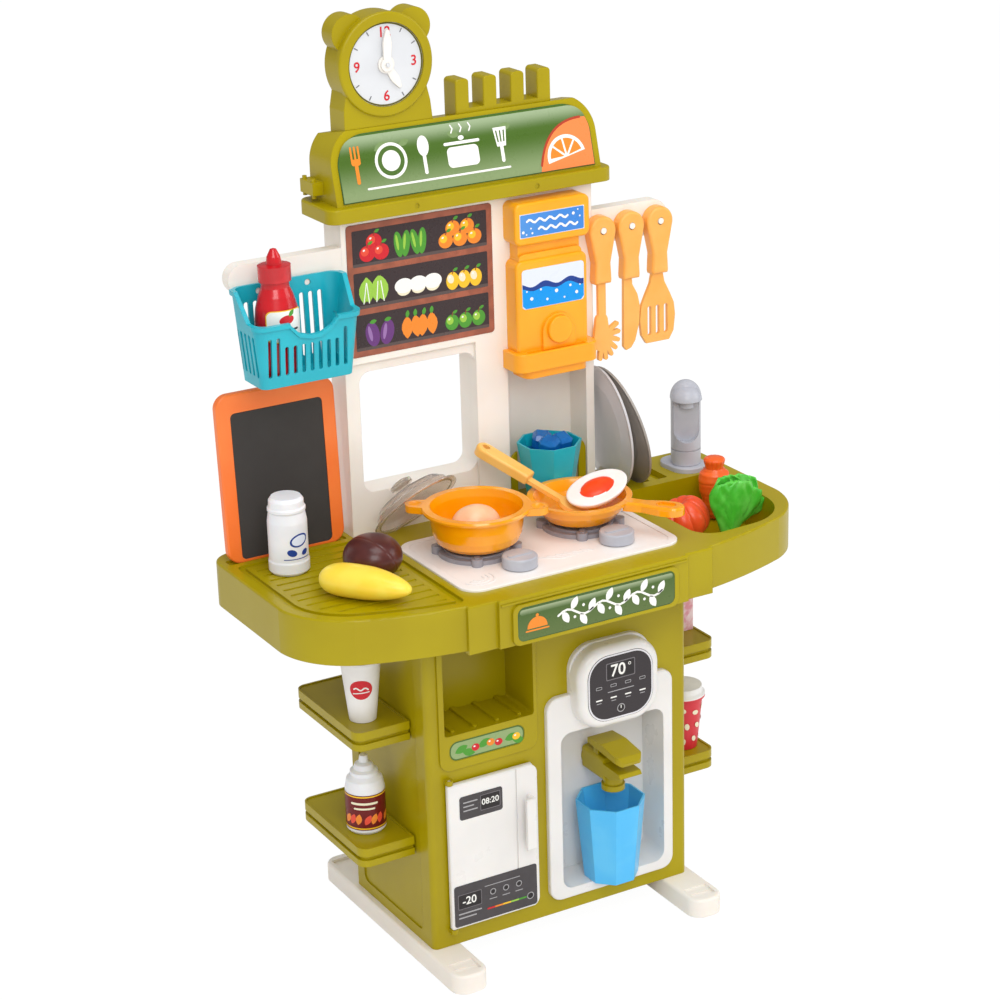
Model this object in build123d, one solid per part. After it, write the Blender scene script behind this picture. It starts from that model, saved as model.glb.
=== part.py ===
from build123d import *
import os
from math import atan2, cos, degrees, radians, sin

# Toy kitchen, millimetres. +Z is up, +X is the right-hand side seen from the front, -Y is the front.
# Everything is drawn with Y = 0 on the cabinet's front face and moved once, when it is written, so that
# the origin ends up on the floor under the middle of the whole outline.

# ---- Common frame, walls and clearances ---------------------------------------------------------
FOOTPRINT_MIDDLE = 80.0     # the middle of the outline lies this far behind the cabinet's front
SHELL = 3.0                 # moulded wall of the large housings
THIN = 2.0                  # moulded wall of the small parts
FIT = 0.3                   # gap between a loose piece and what carries or holds it
RUN = 0.05                  # radial gap of a running pin in its bore
# ---- Feet ---------------------------------------------------------------------------------------
FOOT_H = 20.0
FOOT_W = 38.0
FOOT_X = 139.5              # middle line of a foot
FOOT_FRONT = -61.0
FOOT_BACK = 235.0
FOOT_CORNER = 15.0
FOOT_STEP = 10.0            # width of the shallow steps across a foot's tip
# ---- Cabinet ------------------------------------------------------------------------------------
CABINET_HALF = 151.0
CABINET_D = 165.0
CABINET_CORNER = 6.0
CABINET_TOP = 405.0         # where the countertop sits
BACK_PLATE = 3.0
SIDE_RECESS = 1.5           # the sides are sunk this much behind the shelves
# ---- Countertop ---------------------------------------------------------------------------------
TOP = 411.0                 # height of the work surface
COUNTER_HALF = 285.0
COUNTER_FRONT = -72.0
COUNTER_BACK = 188.0
SKIRT_BOTTOM = 363.0
WING_SKIRT_BOTTOM = 366.0
REAR_CORNER = 24.0
MIDDLE_HALF = 106.0         # half width of the straight front section
STEP_HALF = 137.0           # the wings begin here
FRAME_HALF = 93.0           # raised frame around the front sign
FRAME_PROUD = 3.0
SIGN_HALF = 88.0
SIGN_SINK = 0.5             # printed plates lie in pockets this deep
PLATE_T = 0.7               # thickness of the thin printed plates
SINK_FLOOR = 370.0
SINK_WALL = 2.5
DRAIN_SINK = 3.0            # the draining area lies this far below the rim
SLOT_DEPTH = 5.0            # plate slots in the work surface
SLOT_LENGTH = 52.0
SLOT_W = 14.0
BOARD_GROOVE = 2.5          # groove the blackboard stands in
# ---- Hob ----------------------------------------------------------------------------------------
HOB_HALF = 122.0
HOB_FRONT = -42.0
HOB_BACK = 108.0
HOB_T = 2.5
HOB_TOP = TOP + HOB_T
BURNERS = ((-61.5, 48.0), (59.0, 51.0))
BURNER_R = 38.5
BURNER_TOP = 421.5          # pans stand at this height
LUG_R = 5.6
LUG_ANGLES = (-119, -29, 61, 151)
KNOB_R = 17.4
KNOB_H = 11.0
PEG_R = 4.0                 # pegs that knobs and the faucet turn on
PEG_H = 7.0
KNOBS = {"knob_left": (-46.0, -8.5), "knob_right": (66.0, -5.5)}
# ---- Refrigerator and oven-like compartment -------------------------------------------------------
DOOR_LEFT, DOOR_RIGHT = -CABINET_HALF + 17.5, -33.0
DOOR_BOTTOM, DOOR_TOP = 41.0, 200.0
DOOR_T = 7.0
DOOR_GAP = 1.5              # between the door's back and the cabinet
HINGE_X = DOOR_LEFT + 3.5
HINGE_Y = -5.0
HINGE_R = 2.0
TRAY_LEFT, TRAY_RIGHT = -CABINET_HALF + 19.5, -31.0
TRAY_BOTTOM, TRAY_TOP = 250.0, 345.0
TRAY_DEPTH = 53.0
# ---- Water dispenser ------------------------------------------------------------------------------
PANEL_LEFT, PANEL_RIGHT = -18.0, CABINET_HALF - 20.5
PANEL_BOTTOM, PANEL_TOP = 36.0, 262.0
PANEL_PROUD = 6.0
HEAD_LEFT, HEAD_RIGHT = 9.0, PANEL_RIGHT - 26.5
HEAD_BOTTOM, HEAD_TOP = 224.0, 312.0
HEAD_PROUD = 24.0
RECESS_LEFT, RECESS_RIGHT = -3.0, PANEL_RIGHT - 11.5
RECESS_BOTTOM, RECESS_TOP = 47.0, 221.0
RECESS_BACK = 34.0
TAP_X = 57.0
TAP_Y = -7.0                # middle of the nozzle
LEVER_PIN_Y, LEVER_PIN_Z = 8.0, 187.0
LEVER_W = 30.0
LEVER_PIN_R = 2.0
# ---- Tower ----------------------------------------------------------------------------------------
TOWER_MID = -3.0
TOWER_LEFT, TOWER_RIGHT = TOWER_MID - 140.5, TOWER_MID + 140.5
TOWER_TOP = 735.0
TOWER_FACE = 148.0          # proud front faces
TOWER_FRONT = 152.0         # front face around the window
TOWER_SEAM = 163.0          # where front and rear halves meet
TOWER_BACK = 183.0
WINDOW = (-129.0, 0.0, 455.0, 580.0)
WINDOW_R = 12.0
NICHE = (36.0, 128.0, 566.0)
PICTURE = (-138.0, 22.0, 597.0, 729.0)
ARM_T = 14.0
HANG_Z = 684.0              # height of the utensil pegs
HANG_X = (144.0, 178.0, 212.5)
HANG_R = 3.2
BASKET_HANG_X = (-234.0, -183.0)
BASKET_PEG_Z = 683.0
BASKET_PEG_R = 2.8
# ---- Roof, rack and clock ---------------------------------------------------------------------------
EAVES = 749.0
RIDGE = 817.0
ROOF_HALF = 147.0
ROOF_CORNER = 37.0
ROOF_PROFILE = ((144.0, EAVES), (162.0, RIDGE), (200.0, 810.0), (200.0, EAVES))
SIGN_LEAN = degrees(atan2(ROOF_PROFILE[1][0] - ROOF_PROFILE[0][0], RIDGE - EAVES))
PRONGS = (-4.0, 27.0, 58.0, 88.0)
PRONG_W = 15.0
CLOCK_X, CLOCK_Z = -80.0, 875.0
CLOCK_FRONT = 160.0
CLOCK_D = 33.0
BEZEL_R = 50.0
DIAL_R = 40.0
EAR_R = 18.5
EAR_X, EAR_Z = 34.0, 31.5     # ears beside and above the clock's middle
# ---- Shelves ----------------------------------------------------------------------------------------
SHELF_TIP = CABINET_HALF + 59.0
SHELF_FRONT, SHELF_BACK = 33.0, 168.0
SHELF_TOPS = (134.0, 260.0)
SHELF_T = 20.0


def span(x0, x1, y0, y1, z0, z1):
    """Box between two corners."""
    return Pos((x0 + x1) / 2, (y0 + y1) / 2, (z0 + z1) / 2) * Box(x1 - x0, y1 - y0, z1 - z0)


def laid(outline, z, height):
    """Flat outline in XY, extruded upward from z."""
    return extrude(Pos(0, 0, z) * outline, amount=height)


def upright(outline, y, depth):
    """Outline drawn in XZ, extruded towards the back from y."""
    return extrude(Plane.XZ.offset(-y) * outline, amount=-depth)


def sideways(outline, x, width):
    """Outline drawn in YZ, extruded towards +X from x."""
    return extrude(Plane.YZ.offset(x) * outline, amount=width)


def post(radius, z, height, x=0.0, y=0.0):
    """Upright cylinder standing on z."""
    return laid(Pos(x, y) * Circle(radius), z, height)


def rod(radius, y, length, x, z):
    """Cylinder lying along Y."""
    return upright(Pos(x, z) * Circle(radius), y, length)


def turned(points, x=0.0, y=0.0, z=0.0):
    """Solid of revolution about an upright axis, from (radius, height) points."""
    profile = make_face(Polyline(*points, close=True))
    return Pos(x, y, z) * revolve(Plane.XZ * profile, Axis.Z)


def swelled(*points):
    """Smooth solid of revolution through (radius, height) points, from its top to its flat foot."""
    curve = Spline(*points, tangents=((1, 0), (-1, 0)))
    body = revolve(Plane.XZ * make_face(curve.edges() + Line(points[-1], points[0]).edges()), Axis.Z)
    return body & Pos(0, 0, points[0][1]) * Box(4 * points[0][1], 4 * points[0][1], 2 * points[0][1])


def between(x0, x1, z0, z1, radius=0.0):
    """Rectangle between two corners, with rounded corners where a radius is given."""
    shape = RectangleRounded(x1 - x0, z1 - z0, radius) if radius else Rectangle(x1 - x0, z1 - z0)
    return Pos((x0 + x1) / 2, (z0 + z1) / 2) * shape


def arched(x0, x1, z0, z1, radius):
    """Rectangle whose two upper corners are rounded."""
    return between(x0, x1, z0 - (z1 - z0), z1, radius) & between(x0, x1, z0, z1)


def hulled(*circles):
    """Convex outline around (x, y, radius) circles."""
    edges = []
    for x, y, radius in circles:
        edges += (Pos(x, y) * Circle(radius)).edges()
    return make_hull(edges)


def ellipsoid(a, b, c):
    """Solid ellipsoid with three half axes."""
    return scale(Sphere(1.0), by=(a, b, c))


def mirrored(shape):
    """The shape's twin on the other side of the middle plane."""
    return mirror(shape, about=Plane.YZ)


def octagonal_cup(bottom_r, top_r, height, wall):
    """Open cup with eight flat sides, standing on z = 0."""
    outer = loft([RegularPolygon(bottom_r, 8), Pos(0, 0, height) * RegularPolygon(top_r, 8)])
    inner = loft([Pos(0, 0, wall) * RegularPolygon(bottom_r - wall, 8),
                  Pos(0, 0, height + wall) * RegularPolygon(top_r - wall + 0.2, 8)])
    return outer - inner


# ---- Feet ---------------------------------------------------------------------------------------
def foot(x):
    length = FOOT_BACK - FOOT_FRONT
    middle = (FOOT_BACK + FOOT_FRONT) / 2
    body = laid(Pos(x, middle) * RectangleRounded(FOOT_W, length, FOOT_CORNER), 0, FOOT_H)
    body = fillet(body.faces().sort_by(Axis.Z)[-1].edges(), 3.0)
    for end, inward in ((FOOT_FRONT, 1), (FOOT_BACK, -1)):
        for index, depth in enumerate((3.0, 1.5)):
            start = end + inward * (FOOT_STEP + index * FOOT_STEP)
            step = span(x - 13, x + 13, min(start, start + inward * FOOT_STEP),
                        max(start, start + inward * FOOT_STEP), FOOT_H - depth, FOOT_H + 1)
            body -= step
    return body


feet = [foot(-FOOT_X), foot(FOOT_X)]

# ---- Cabinet ------------------------------------------------------------------------------------
plan = between(-CABINET_HALF, CABINET_HALF, 0, CABINET_D + CABINET_CORNER, CABINET_CORNER)
plan &= between(-CABINET_HALF, CABINET_HALF, 0, CABINET_D)
inner_plan = between(-CABINET_HALF + SHELL, CABINET_HALF - SHELL, SHELL, CABINET_D + CABINET_CORNER,
                     CABINET_CORNER - SHELL)
cabinet = laid(plan, FOOT_H, CABINET_TOP - FOOT_H) - laid(inner_plan, FOOT_H + SHELL, CABINET_TOP)
for side in (-1, 1):
    x = side * CABINET_HALF
    recess = sideways(between(22, 150, 32, 385, 8), min(x, x - side * SIDE_RECESS), SIDE_RECESS)
    cabinet -= recess
# Sink basin and rear plate pocket hang beside the cabinet and cut into its upper right edge.
cabinet -= span(CABINET_HALF - 9, CABINET_HALF + 1, -1, 120, SINK_FLOOR - 5, CABINET_TOP + 1)
cabinet -= upright(between(DOOR_LEFT + 6, DOOR_RIGHT - 6, DOOR_BOTTOM + 6, DOOR_TOP - 6, 6), -1, SHELL + 2)
cabinet -= upright(between(TRAY_LEFT - THIN, TRAY_RIGHT + THIN, TRAY_BOTTOM - THIN, TRAY_TOP + THIN), -1,
                   SHELL + 2)
cabinet -= upright(between(RECESS_LEFT - THIN, RECESS_RIGHT + THIN, RECESS_BOTTOM - THIN,
                           RECESS_TOP + THIN), -1, SHELL + 2)
# Hinge eyes above and below the refrigerator door.
EYE_H = 5.0
for z in (DOOR_TOP + FIT, DOOR_BOTTOM - FIT - EYE_H):
    eye = hulled((HINGE_X, HINGE_Y, HINGE_R + 1.6), (HINGE_X, 0.5, HINGE_R + 1.6))
    cabinet += laid(eye, z, EYE_H) - span(-200, 0, SHELL - 0.5, 20, z - 1, z + EYE_H + 1)
    cabinet -= post(HINGE_R + RUN, z - 1, EYE_H + 2, HINGE_X, HINGE_Y)
cabinet_back = upright(between(-CABINET_HALF + SHELL, CABINET_HALF - SHELL, FOOT_H + SHELL, CABINET_TOP, 4),
                       CABINET_D - BACK_PLATE, BACK_PLATE)
for x in (-120, 120):
    for z in (50, 215, 380):
        cabinet_back -= rod(3.5, CABINET_D - 1.2, 2, x, z)

# ---- Compartment tray and refrigerator lining ---------------------------------------------------
FACE_T = 2.0                # raised frame in front of the cabinet
face = between(TRAY_LEFT - 6, TRAY_RIGHT + 4, 213, TRAY_TOP + 6, 12)
tray = upright(face, -FACE_T, FACE_T)
tray += upright(between(TRAY_LEFT - THIN + 0.1, TRAY_RIGHT + THIN - 0.1, TRAY_BOTTOM - THIN + 0.1,
                        TRAY_TOP + THIN - 0.1), -FACE_T, TRAY_DEPTH + THIN + FACE_T)
tray -= upright(between(TRAY_LEFT, TRAY_RIGHT, TRAY_BOTTOM, TRAY_TOP, 3), -FACE_T - 1, TRAY_DEPTH + FACE_T + 1)
RIBS = 4
pitch = (TRAY_RIGHT - TRAY_LEFT) / RIBS
for index in range(RIBS):
    x = TRAY_LEFT + pitch * (index + 0.5)
    rib = hulled((x, 6, 2.5), (x, TRAY_DEPTH - 3, 2.5))
    tray += laid(rib, TRAY_BOTTOM - 0.5, 3.0)
STRIP = (TRAY_LEFT + 4.5, TRAY_RIGHT - 11, 222.0, 243.0)
tray -= upright(between(*STRIP, 9), -FACE_T - 1, 1 + SIGN_SINK)
FRIDGE_D = 92.0
fridge = upright(between(DOOR_LEFT + 4, DOOR_RIGHT - 4, DOOR_BOTTOM + 4, DOOR_TOP - 4, 8), SHELL, FRIDGE_D)
fridge -= upright(between(DOOR_LEFT + 6, DOOR_RIGHT - 6, DOOR_BOTTOM + 6, DOOR_TOP - 6, 6), SHELL - 1,
                  FRIDGE_D - THIN + 1)
fridge += span(DOOR_LEFT + 5, DOOR_RIGHT - 5, SHELL + 8, SHELL + FRIDGE_D - 1, 118, 120.5)

# ---- Refrigerator door --------------------------------------------------------------------------
door_face = between(DOOR_LEFT, DOOR_RIGHT, DOOR_BOTTOM, DOOR_TOP, 2) + \
    between(DOOR_LEFT + 20, DOOR_RIGHT, DOOR_BOTTOM, DOOR_TOP, 10)
door_face -= between(DOOR_RIGHT - 5, DOOR_RIGHT + 1, DOOR_BOTTOM - 1, DOOR_TOP + 1) - \
    between(DOOR_LEFT + 20, DOOR_RIGHT, DOOR_BOTTOM, DOOR_TOP, 10)
door_front = -DOOR_GAP - DOOR_T
door = upright(door_face, door_front, DOOR_T)
left_edges = door.edges().filter_by(Axis.Z).group_by(Axis.X)[0]
door = fillet(left_edges, 2.2)
SEAM_X = DOOR_RIGHT - 25
door -= span(SEAM_X, SEAM_X + 1.5, door_front - 1, door_front + 0.9, DOOR_BOTTOM - 1, DOOR_TOP + 1)
GRIP_X = DOOR_RIGHT - 9.5
grip = laid(hulled((GRIP_X, door_front - 9.5, 2.5), (GRIP_X, door_front + 2, 2.5)), 112, 56)
grip = fillet(grip.edges().filter_by(Axis.Y), 2.0)
grip += sideways(between(door_front - 12, door_front - 8.5, 112, 168, 1.7), GRIP_X - 9.5, 10.5)
door += grip
UPPER_SCREEN = (DOOR_LEFT + 12, DOOR_RIGHT - 40, 160.0, 185.5)
LOWER_STRIP = (DOOR_LEFT + 2.5, DOOR_RIGHT - 3, 43.5, 89.0)
door -= upright(between(*UPPER_SCREEN, 3), door_front - 1, 1 + SIGN_SINK)
door -= upright(between(*LOWER_STRIP, 3), door_front - 1, 1 + SIGN_SINK)
for z in (DOOR_TOP - 3, DOOR_BOTTOM - FIT - EYE_H + 1):
    door += post(HINGE_R, z, 7.3, HINGE_X, HINGE_Y)
fridge_displays = [upright(between(*UPPER_SCREEN, 3), door_front + SIGN_SINK - PLATE_T, PLATE_T),
                   upright(between(*LOWER_STRIP, 3), door_front + SIGN_SINK - PLATE_T, PLATE_T)]

# ---- Water dispenser ----------------------------------------------------------------------------
panel_outline = between(PANEL_LEFT, PANEL_RIGHT, PANEL_BOTTOM, PANEL_TOP, 14)
panel_outline += arched(HEAD_LEFT, HEAD_RIGHT, PANEL_TOP - 20, HEAD_TOP, 26)
panel = upright(panel_outline, -PANEL_PROUD, PANEL_PROUD)
panel = fillet(panel.faces().sort_by(Axis.Y)[0].outer_wire().edges(), 2.0)
panel += upright(between(RECESS_LEFT - THIN + 0.1, RECESS_RIGHT + THIN - 0.1, RECESS_BOTTOM - THIN + 0.1,
                         RECESS_TOP + THIN - 0.1), -2, RECESS_BACK + THIN + 2)
panel -= upright(between(RECESS_LEFT, RECESS_RIGHT, RECESS_BOTTOM, RECESS_TOP, 12), -PANEL_PROUD - 1,
                 RECESS_BACK + PANEL_PROUD + 1)
head = upright(between(HEAD_LEFT, HEAD_RIGHT, HEAD_BOTTOM, HEAD_TOP - 1, 30), -HEAD_PROUD,
               HEAD_PROUD - PANEL_PROUD + 1)
head = fillet(head.faces().sort_by(Axis.Y)[0].outer_wire().edges(), 8.0)
panel += head
SCREEN = (HEAD_LEFT + 9.5, HEAD_RIGHT - 9, 232.5, 303.0)
screen_outline = between(*SCREEN, 23)
panel -= upright(screen_outline, -HEAD_PROUD - 1, 1 + SIGN_SINK)
dispenser_display = upright(offset(screen_outline, -0.1), -HEAD_PROUD + SIGN_SINK - PLATE_T, PLATE_T)

# Tap: flange on the recess wall, arm with a lower bill, nozzle, and two ears for the lever pin.
tap = rod(12.5, RECESS_BACK - 4, 4, TAP_X, 170)
tap += upright(between(TAP_X - 13, TAP_X + 13, 158, 183, 4), TAP_Y - 2, RECESS_BACK - 1 - TAP_Y)
bill = make_face(Polyline((0, 166), (0, 178), (-38, 177), (-41, 173), (-22, 165), close=True))
tap += sideways(bill, TAP_X - 13, 26)
tap += post(10.0, 150, 20, TAP_X, TAP_Y)
tap += post(12.0, 147.5, 6, TAP_X, TAP_Y)
tap -= post(8.0, 146, 14, TAP_X, TAP_Y)
EAR_T = 3.0
for x in (TAP_X - 11, TAP_X + 8):
    ear = hulled((LEVER_PIN_Y, LEVER_PIN_Z, 4.0), (LEVER_PIN_Y, 181, 4.0))
    tap += sideways(ear, x, EAR_T)
tap -= sideways(Pos(LEVER_PIN_Y, LEVER_PIN_Z) * Circle(LEVER_PIN_R + RUN), TAP_X - 12, 24)
paddle = make_face(Polyline((17, 192.5), (17, 198), (-8, 199.5), (-38, 195.5), (-43, 190), (-42, 186.5),
                            (-38, 188.5), (-8, 191), close=True))
lever = sideways(paddle, TAP_X - LEVER_W / 2, LEVER_W)
corner_block = laid(between(TAP_X - LEVER_W / 2, TAP_X + LEVER_W / 2, -43, 60, 9), 185, 20)
lever &= corner_block
hub = hulled((LEVER_PIN_Y, LEVER_PIN_Z, 4.0), (LEVER_PIN_Y, 193, 4.0))
lever += sideways(hub, TAP_X - 11 + EAR_T + FIT, 19 - EAR_T - 2 * FIT)
lever += sideways(Pos(LEVER_PIN_Y, LEVER_PIN_Z) * Circle(LEVER_PIN_R), TAP_X - 11.5, 23)

# ---- Side shelves -------------------------------------------------------------------------------
def shelf(top):
    """Right-hand shelf: two lips with a groove between them, and a tongue in the sunk side panel."""
    outline = between(CABINET_HALF - 30, SHELF_TIP, SHELF_FRONT, SHELF_BACK, 11)
    outline &= between(CABINET_HALF, SHELF_TIP, SHELF_FRONT, SHELF_BACK)
    slab = laid(outline, top - SHELF_T, SHELF_T)
    keep = between(CABINET_HALF - 30, SHELF_TIP - 3, SHELF_FRONT + 3, SHELF_BACK - 3, 8)
    slab -= laid(outline - keep, top - SHELF_T + 7, 4)
    dish = between(CABINET_HALF + 2, SHELF_TIP - 2.5, SHELF_FRONT + 2.5, SHELF_BACK - 2.5, 7)
    slab -= laid(dish, top - 1, 2)
    slab += span(CABINET_HALF - SIDE_RECESS, CABINET_HALF, 45, 145, top - SHELF_T, top - 1)
    return slab


shelves = []
for top in SHELF_TOPS:
    right = shelf(top)
    shelves += [right, mirrored(right)]

# ---- Countertop ---------------------------------------------------------------------------------
WING_X = COUNTER_HALF - 46     # where the wing's front turns round its end
half_outline = [Polyline((0, COUNTER_FRONT), (MIDDLE_HALF, COUNTER_FRONT), (MIDDLE_HALF, COUNTER_FRONT + 4),
                         (STEP_HALF, COUNTER_FRONT + 4), (STEP_HALF, COUNTER_FRONT + 8)),
                ThreePointArc((STEP_HALF, COUNTER_FRONT + 8), ((STEP_HALF + WING_X) / 2 + 4, COUNTER_FRONT + 20),
                              (WING_X, COUNTER_FRONT + 36)),
                ThreePointArc((WING_X, COUNTER_FRONT + 36), (COUNTER_HALF - 15, COUNTER_FRONT + 62),
                              (COUNTER_HALF, COUNTER_FRONT + 102)),
                Line((COUNTER_HALF, COUNTER_FRONT + 102), (COUNTER_HALF, COUNTER_BACK - REAR_CORNER)),
                ThreePointArc((COUNTER_HALF, COUNTER_BACK - REAR_CORNER),
                              (COUNTER_HALF - REAR_CORNER * (1 - cos(radians(45))),
                               COUNTER_BACK - REAR_CORNER * (1 - sin(radians(45)))),
                              (COUNTER_HALF - REAR_CORNER, COUNTER_BACK)),
                Line((COUNTER_HALF - REAR_CORNER, COUNTER_BACK), (0, COUNTER_BACK))]
half_curve = Curve() + half_outline
outline = make_face(half_curve.edges() + mirrored(half_curve).edges())
counter = laid(outline, SKIRT_BOTTOM, TOP - SKIRT_BOTTOM)
counter = fillet(counter.faces().sort_by(Axis.Z)[-1].outer_wire().edges(), 2.0)
counter -= laid(offset(outline, -SHELL), SKIRT_BOTTOM - 1, CABINET_TOP - SKIRT_BOTTOM + 1)
for side in (-1, 1):
    low, high = sorted((side * STEP_HALF, side * (COUNTER_HALF + 5)))
    counter -= span(low, high, COUNTER_FRONT - 5, COUNTER_BACK + 5, SKIRT_BOTTOM - 2, WING_SKIRT_BOTTOM)
# Raised frame around the front sign.
counter += upright(between(-FRAME_HALF, FRAME_HALF, SKIRT_BOTTOM, 404, 8), COUNTER_FRONT - FRAME_PROUD,
                   FRAME_PROUD + 1)
sign_outline = between(-SIGN_HALF, SIGN_HALF, 366.5, 401, 7)
counter -= upright(sign_outline, COUNTER_FRONT - FRAME_PROUD - 1, 1 + SIGN_SINK + 0.5)
front_sign = upright(offset(sign_outline, -0.1), COUNTER_FRONT - FRAME_PROUD + SIGN_SINK + 0.5 - PLATE_T,
                     PLATE_T)
# Bead along the front edge, above the frame.
counter += sideways(between(COUNTER_FRONT - 1.2, COUNTER_FRONT + 1, 405.2, 407.4), -MIDDLE_HALF + 2,
                    2 * MIDDLE_HALF - 4)
# Sink in the right wing, with a stepped rim.
SINK_LEFT = STEP_HALF + 8
SINK_END = COUNTER_HALF - 23
sink = hulled((SINK_LEFT + 25, -13, 25), (SINK_END - 58, 22, 58), (SINK_LEFT + 25, 87, 25), (SINK_END - 25, 87, 25))
counter += laid(offset(sink, SINK_WALL), SINK_FLOOR - SINK_WALL, CABINET_TOP - SINK_FLOOR + SINK_WALL + 0.5)
counter -= laid(sink, SINK_FLOOR, TOP - SINK_FLOOR + 1)
DRAIN_X = (SINK_LEFT + SINK_END) / 2
counter -= post(9.0, SINK_FLOOR - 1, 3, DRAIN_X, 40) - post(5.0, SINK_FLOOR - 2, 5, DRAIN_X, 40)
# Slots for plates behind the sink.
SLOT_X = (149.8, 176.0, 198.0)
SLOT_Y = 151.0
counter += span(CABINET_HALF, 218, 121, 181, TOP - SLOT_DEPTH - 5, CABINET_TOP + 0.5)
for x in SLOT_X:
    slot = between(x, x + SLOT_W, SLOT_Y - SLOT_LENGTH / 2, SLOT_Y + SLOT_LENGTH / 2, 2)
    counter -= laid(slot, TOP - SLOT_DEPTH - 2, SLOT_DEPTH + 3)
# Draining area in the left wing: a sunk tray with a raised, grooved panel.
wing = offset(outline, -11) & between(-COUNTER_HALF, -HOB_HALF - 8, -80, 147)
wing = offset(offset(wing, -8), 8)
counter -= laid(wing, TOP - DRAIN_SINK, DRAIN_SINK + 1)
drainer = offset(wing, -7)
DRAINER_TOP = TOP - 0.5
counter += laid(drainer, TOP - DRAIN_SINK - 1, DRAINER_TOP - TOP + DRAIN_SINK + 1)
groove_zone = offset(wing, -13)
grooves = Sketch()
for index in range(12):
    y = -40 + 15 * index
    grooves += between(-COUNTER_HALF, -HOB_HALF, y, y + 4)
counter -= laid(grooves & groove_zone, DRAINER_TOP - 1.2, 3)
# Groove for the blackboard.
BOARD_X = -COUNTER_HALF + 72
counter -= laid(between(BOARD_X - 64, BOARD_X + 64, 154.5, 166.5, 3), TOP - BOARD_GROOVE, BOARD_GROOVE + 1)
# Upright plug that stands in the tower's niche, notched for the cup.
TAB = (NICHE[0] + 1, NICHE[1] - 1)
plug = upright(arched(TAB[0], TAB[1], TOP - 1, 466, 14), 149.5, 3)
plug -= upright(between(TAB[0] + 8.5, TAB[1] - 8.5, TOP + 1, 500), 148, 6)
counter += plug

# ---- Hob, burners and knobs -----------------------------------------------------------------------
hob_outline = between(-HOB_HALF, HOB_HALF, HOB_FRONT, HOB_BACK, 20)
hob = laid(hob_outline, TOP, HOB_T)
hob = fillet(hob.faces().sort_by(Axis.Z)[-1].outer_wire().edges(), 1.0)
field = between(-HOB_HALF + 8, HOB_HALF - 8, HOB_FRONT + 8, HOB_BACK - 8, 14)
FIELD_SINK = 0.6
hob -= laid(field, HOB_TOP - FIELD_SINK, 2)
for radius in (7.0, 12.0, 17.0):
    ring = Circle(radius) - Circle(radius - 1.6)
    ring = Pos(-96, -14) * (ring & Rot(0, 0, 200) * (Pos(0, 12) * Rectangle(60, 24)))
    hob += laid(ring, HOB_TOP - FIELD_SINK - 0.2, 0.8)
for index in range(6):
    bar = Pos(-10 + 8 * index, -8) * Rot(0, 0, -35) * RectangleRounded(26 - 2.5 * index, 1.8, 0.8)
    hob += laid(bar, HOB_TOP - FIELD_SINK - 0.2, 0.8)
for x, y in KNOBS.values():
    hob += post(PEG_R, HOB_TOP - FIELD_SINK - 0.2, PEG_H + 0.8, x, y)
    hob += post(PEG_R + 3, HOB_TOP - FIELD_SINK - 0.2, FIELD_SINK + 0.2, x, y)


def burner(x, y):
    """Pan support: a low outer ring, a taller inner ring and four rounded lugs with inward fingers."""
    bottom = HOB_TOP - FIELD_SINK
    body = laid(Circle(BURNER_R) - Circle(BURNER_R - 7), bottom, 4.5)
    body += laid(Circle(BURNER_R - 6) - Circle(BURNER_R - 9), bottom, 6.5)
    for angle in LUG_ANGLES:
        turn = Rot(0, 0, angle)
        body += turn * post(LUG_R, bottom, BURNER_TOP - bottom - 0.8, BURNER_R, 0)
        finger = hulled((BURNER_R, 0, 2.6), (BURNER_R - 21, 0, 2.6))
        body += turn * laid(finger, bottom + 2.0, BURNER_TOP - bottom - 2.0)
    return Pos(x, y, 0) * body


burners = [burner(*place) for place in BURNERS]


def knob(x, y):
    """Round knob with a raised pointer bar, bored for the peg it turns on."""
    bottom = HOB_TOP + FIT
    body = post(KNOB_R, bottom, KNOB_H)
    body = fillet(body.faces().sort_by(Axis.Z)[-1].edges(), 2.0)
    body += laid(RectangleRounded(26, 6, 2.9), bottom + KNOB_H - 1, 2.0)
    body -= post(PEG_R + RUN, bottom - 1, PEG_H + 0.6 + 1)
    body -= post(KNOB_R - 3, bottom - 1, 3.5) - post(PEG_R + 2.5, bottom - 2, 6)
    return Pos(x, y, 0) * body


knobs = {name: knob(*place) for name, place in KNOBS.items()}

# ---- Faucet ---------------------------------------------------------------------------------------
FAUCET_X, FAUCET_Y = 245.0, 140.0
FAUCET_R = 15.8
FAUCET_TURN = -29.0         # at rest the spout points this far to the left of the front
FAUCET_FOOT_TOP = 416.5
faucet_base = laid(hulled((FAUCET_X, FAUCET_Y - 3, 20), (FAUCET_X - 4, FAUCET_Y + 12, 17)), TOP, FAUCET_FOOT_TOP - TOP)
faucet_base = fillet(faucet_base.faces().sort_by(Axis.Z)[-1].outer_wire().edges(), 1.5)
faucet_base += post(9.0, FAUCET_FOOT_TOP - 1, 11, FAUCET_X, FAUCET_Y)
collar_top = FAUCET_FOOT_TOP + FIT
SPOUT_Z = collar_top + 72      # middle of the rounded head
RECESS_Y = -8.0                # flat recess down the column's front
stem = post(FAUCET_R, collar_top, 16)
stem += post(FAUCET_R - 0.8, collar_top + 15, 3)
stem += post(FAUCET_R, collar_top + 17, SPOUT_Z - collar_top - 17)
flat = upright(arched(-13.5, 13.5, -SPOUT_Z, -collar_top - 26, 13.4), -FAUCET_R - 2, FAUCET_R + 2 + RECESS_Y)
stem -= mirror(flat, about=Plane.XY)
dome = Pos(0, 0, SPOUT_Z) * ellipsoid(FAUCET_R + 0.8, FAUCET_R + 0.8, 19)
lip = Pos(0, -7, SPOUT_Z) * ellipsoid(FAUCET_R + 0.8, FAUCET_R + 0.8, 15)
stem += (dome + lip) & Pos(0, 0, SPOUT_Z + 30) * Box(80, 80, 60)
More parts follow.
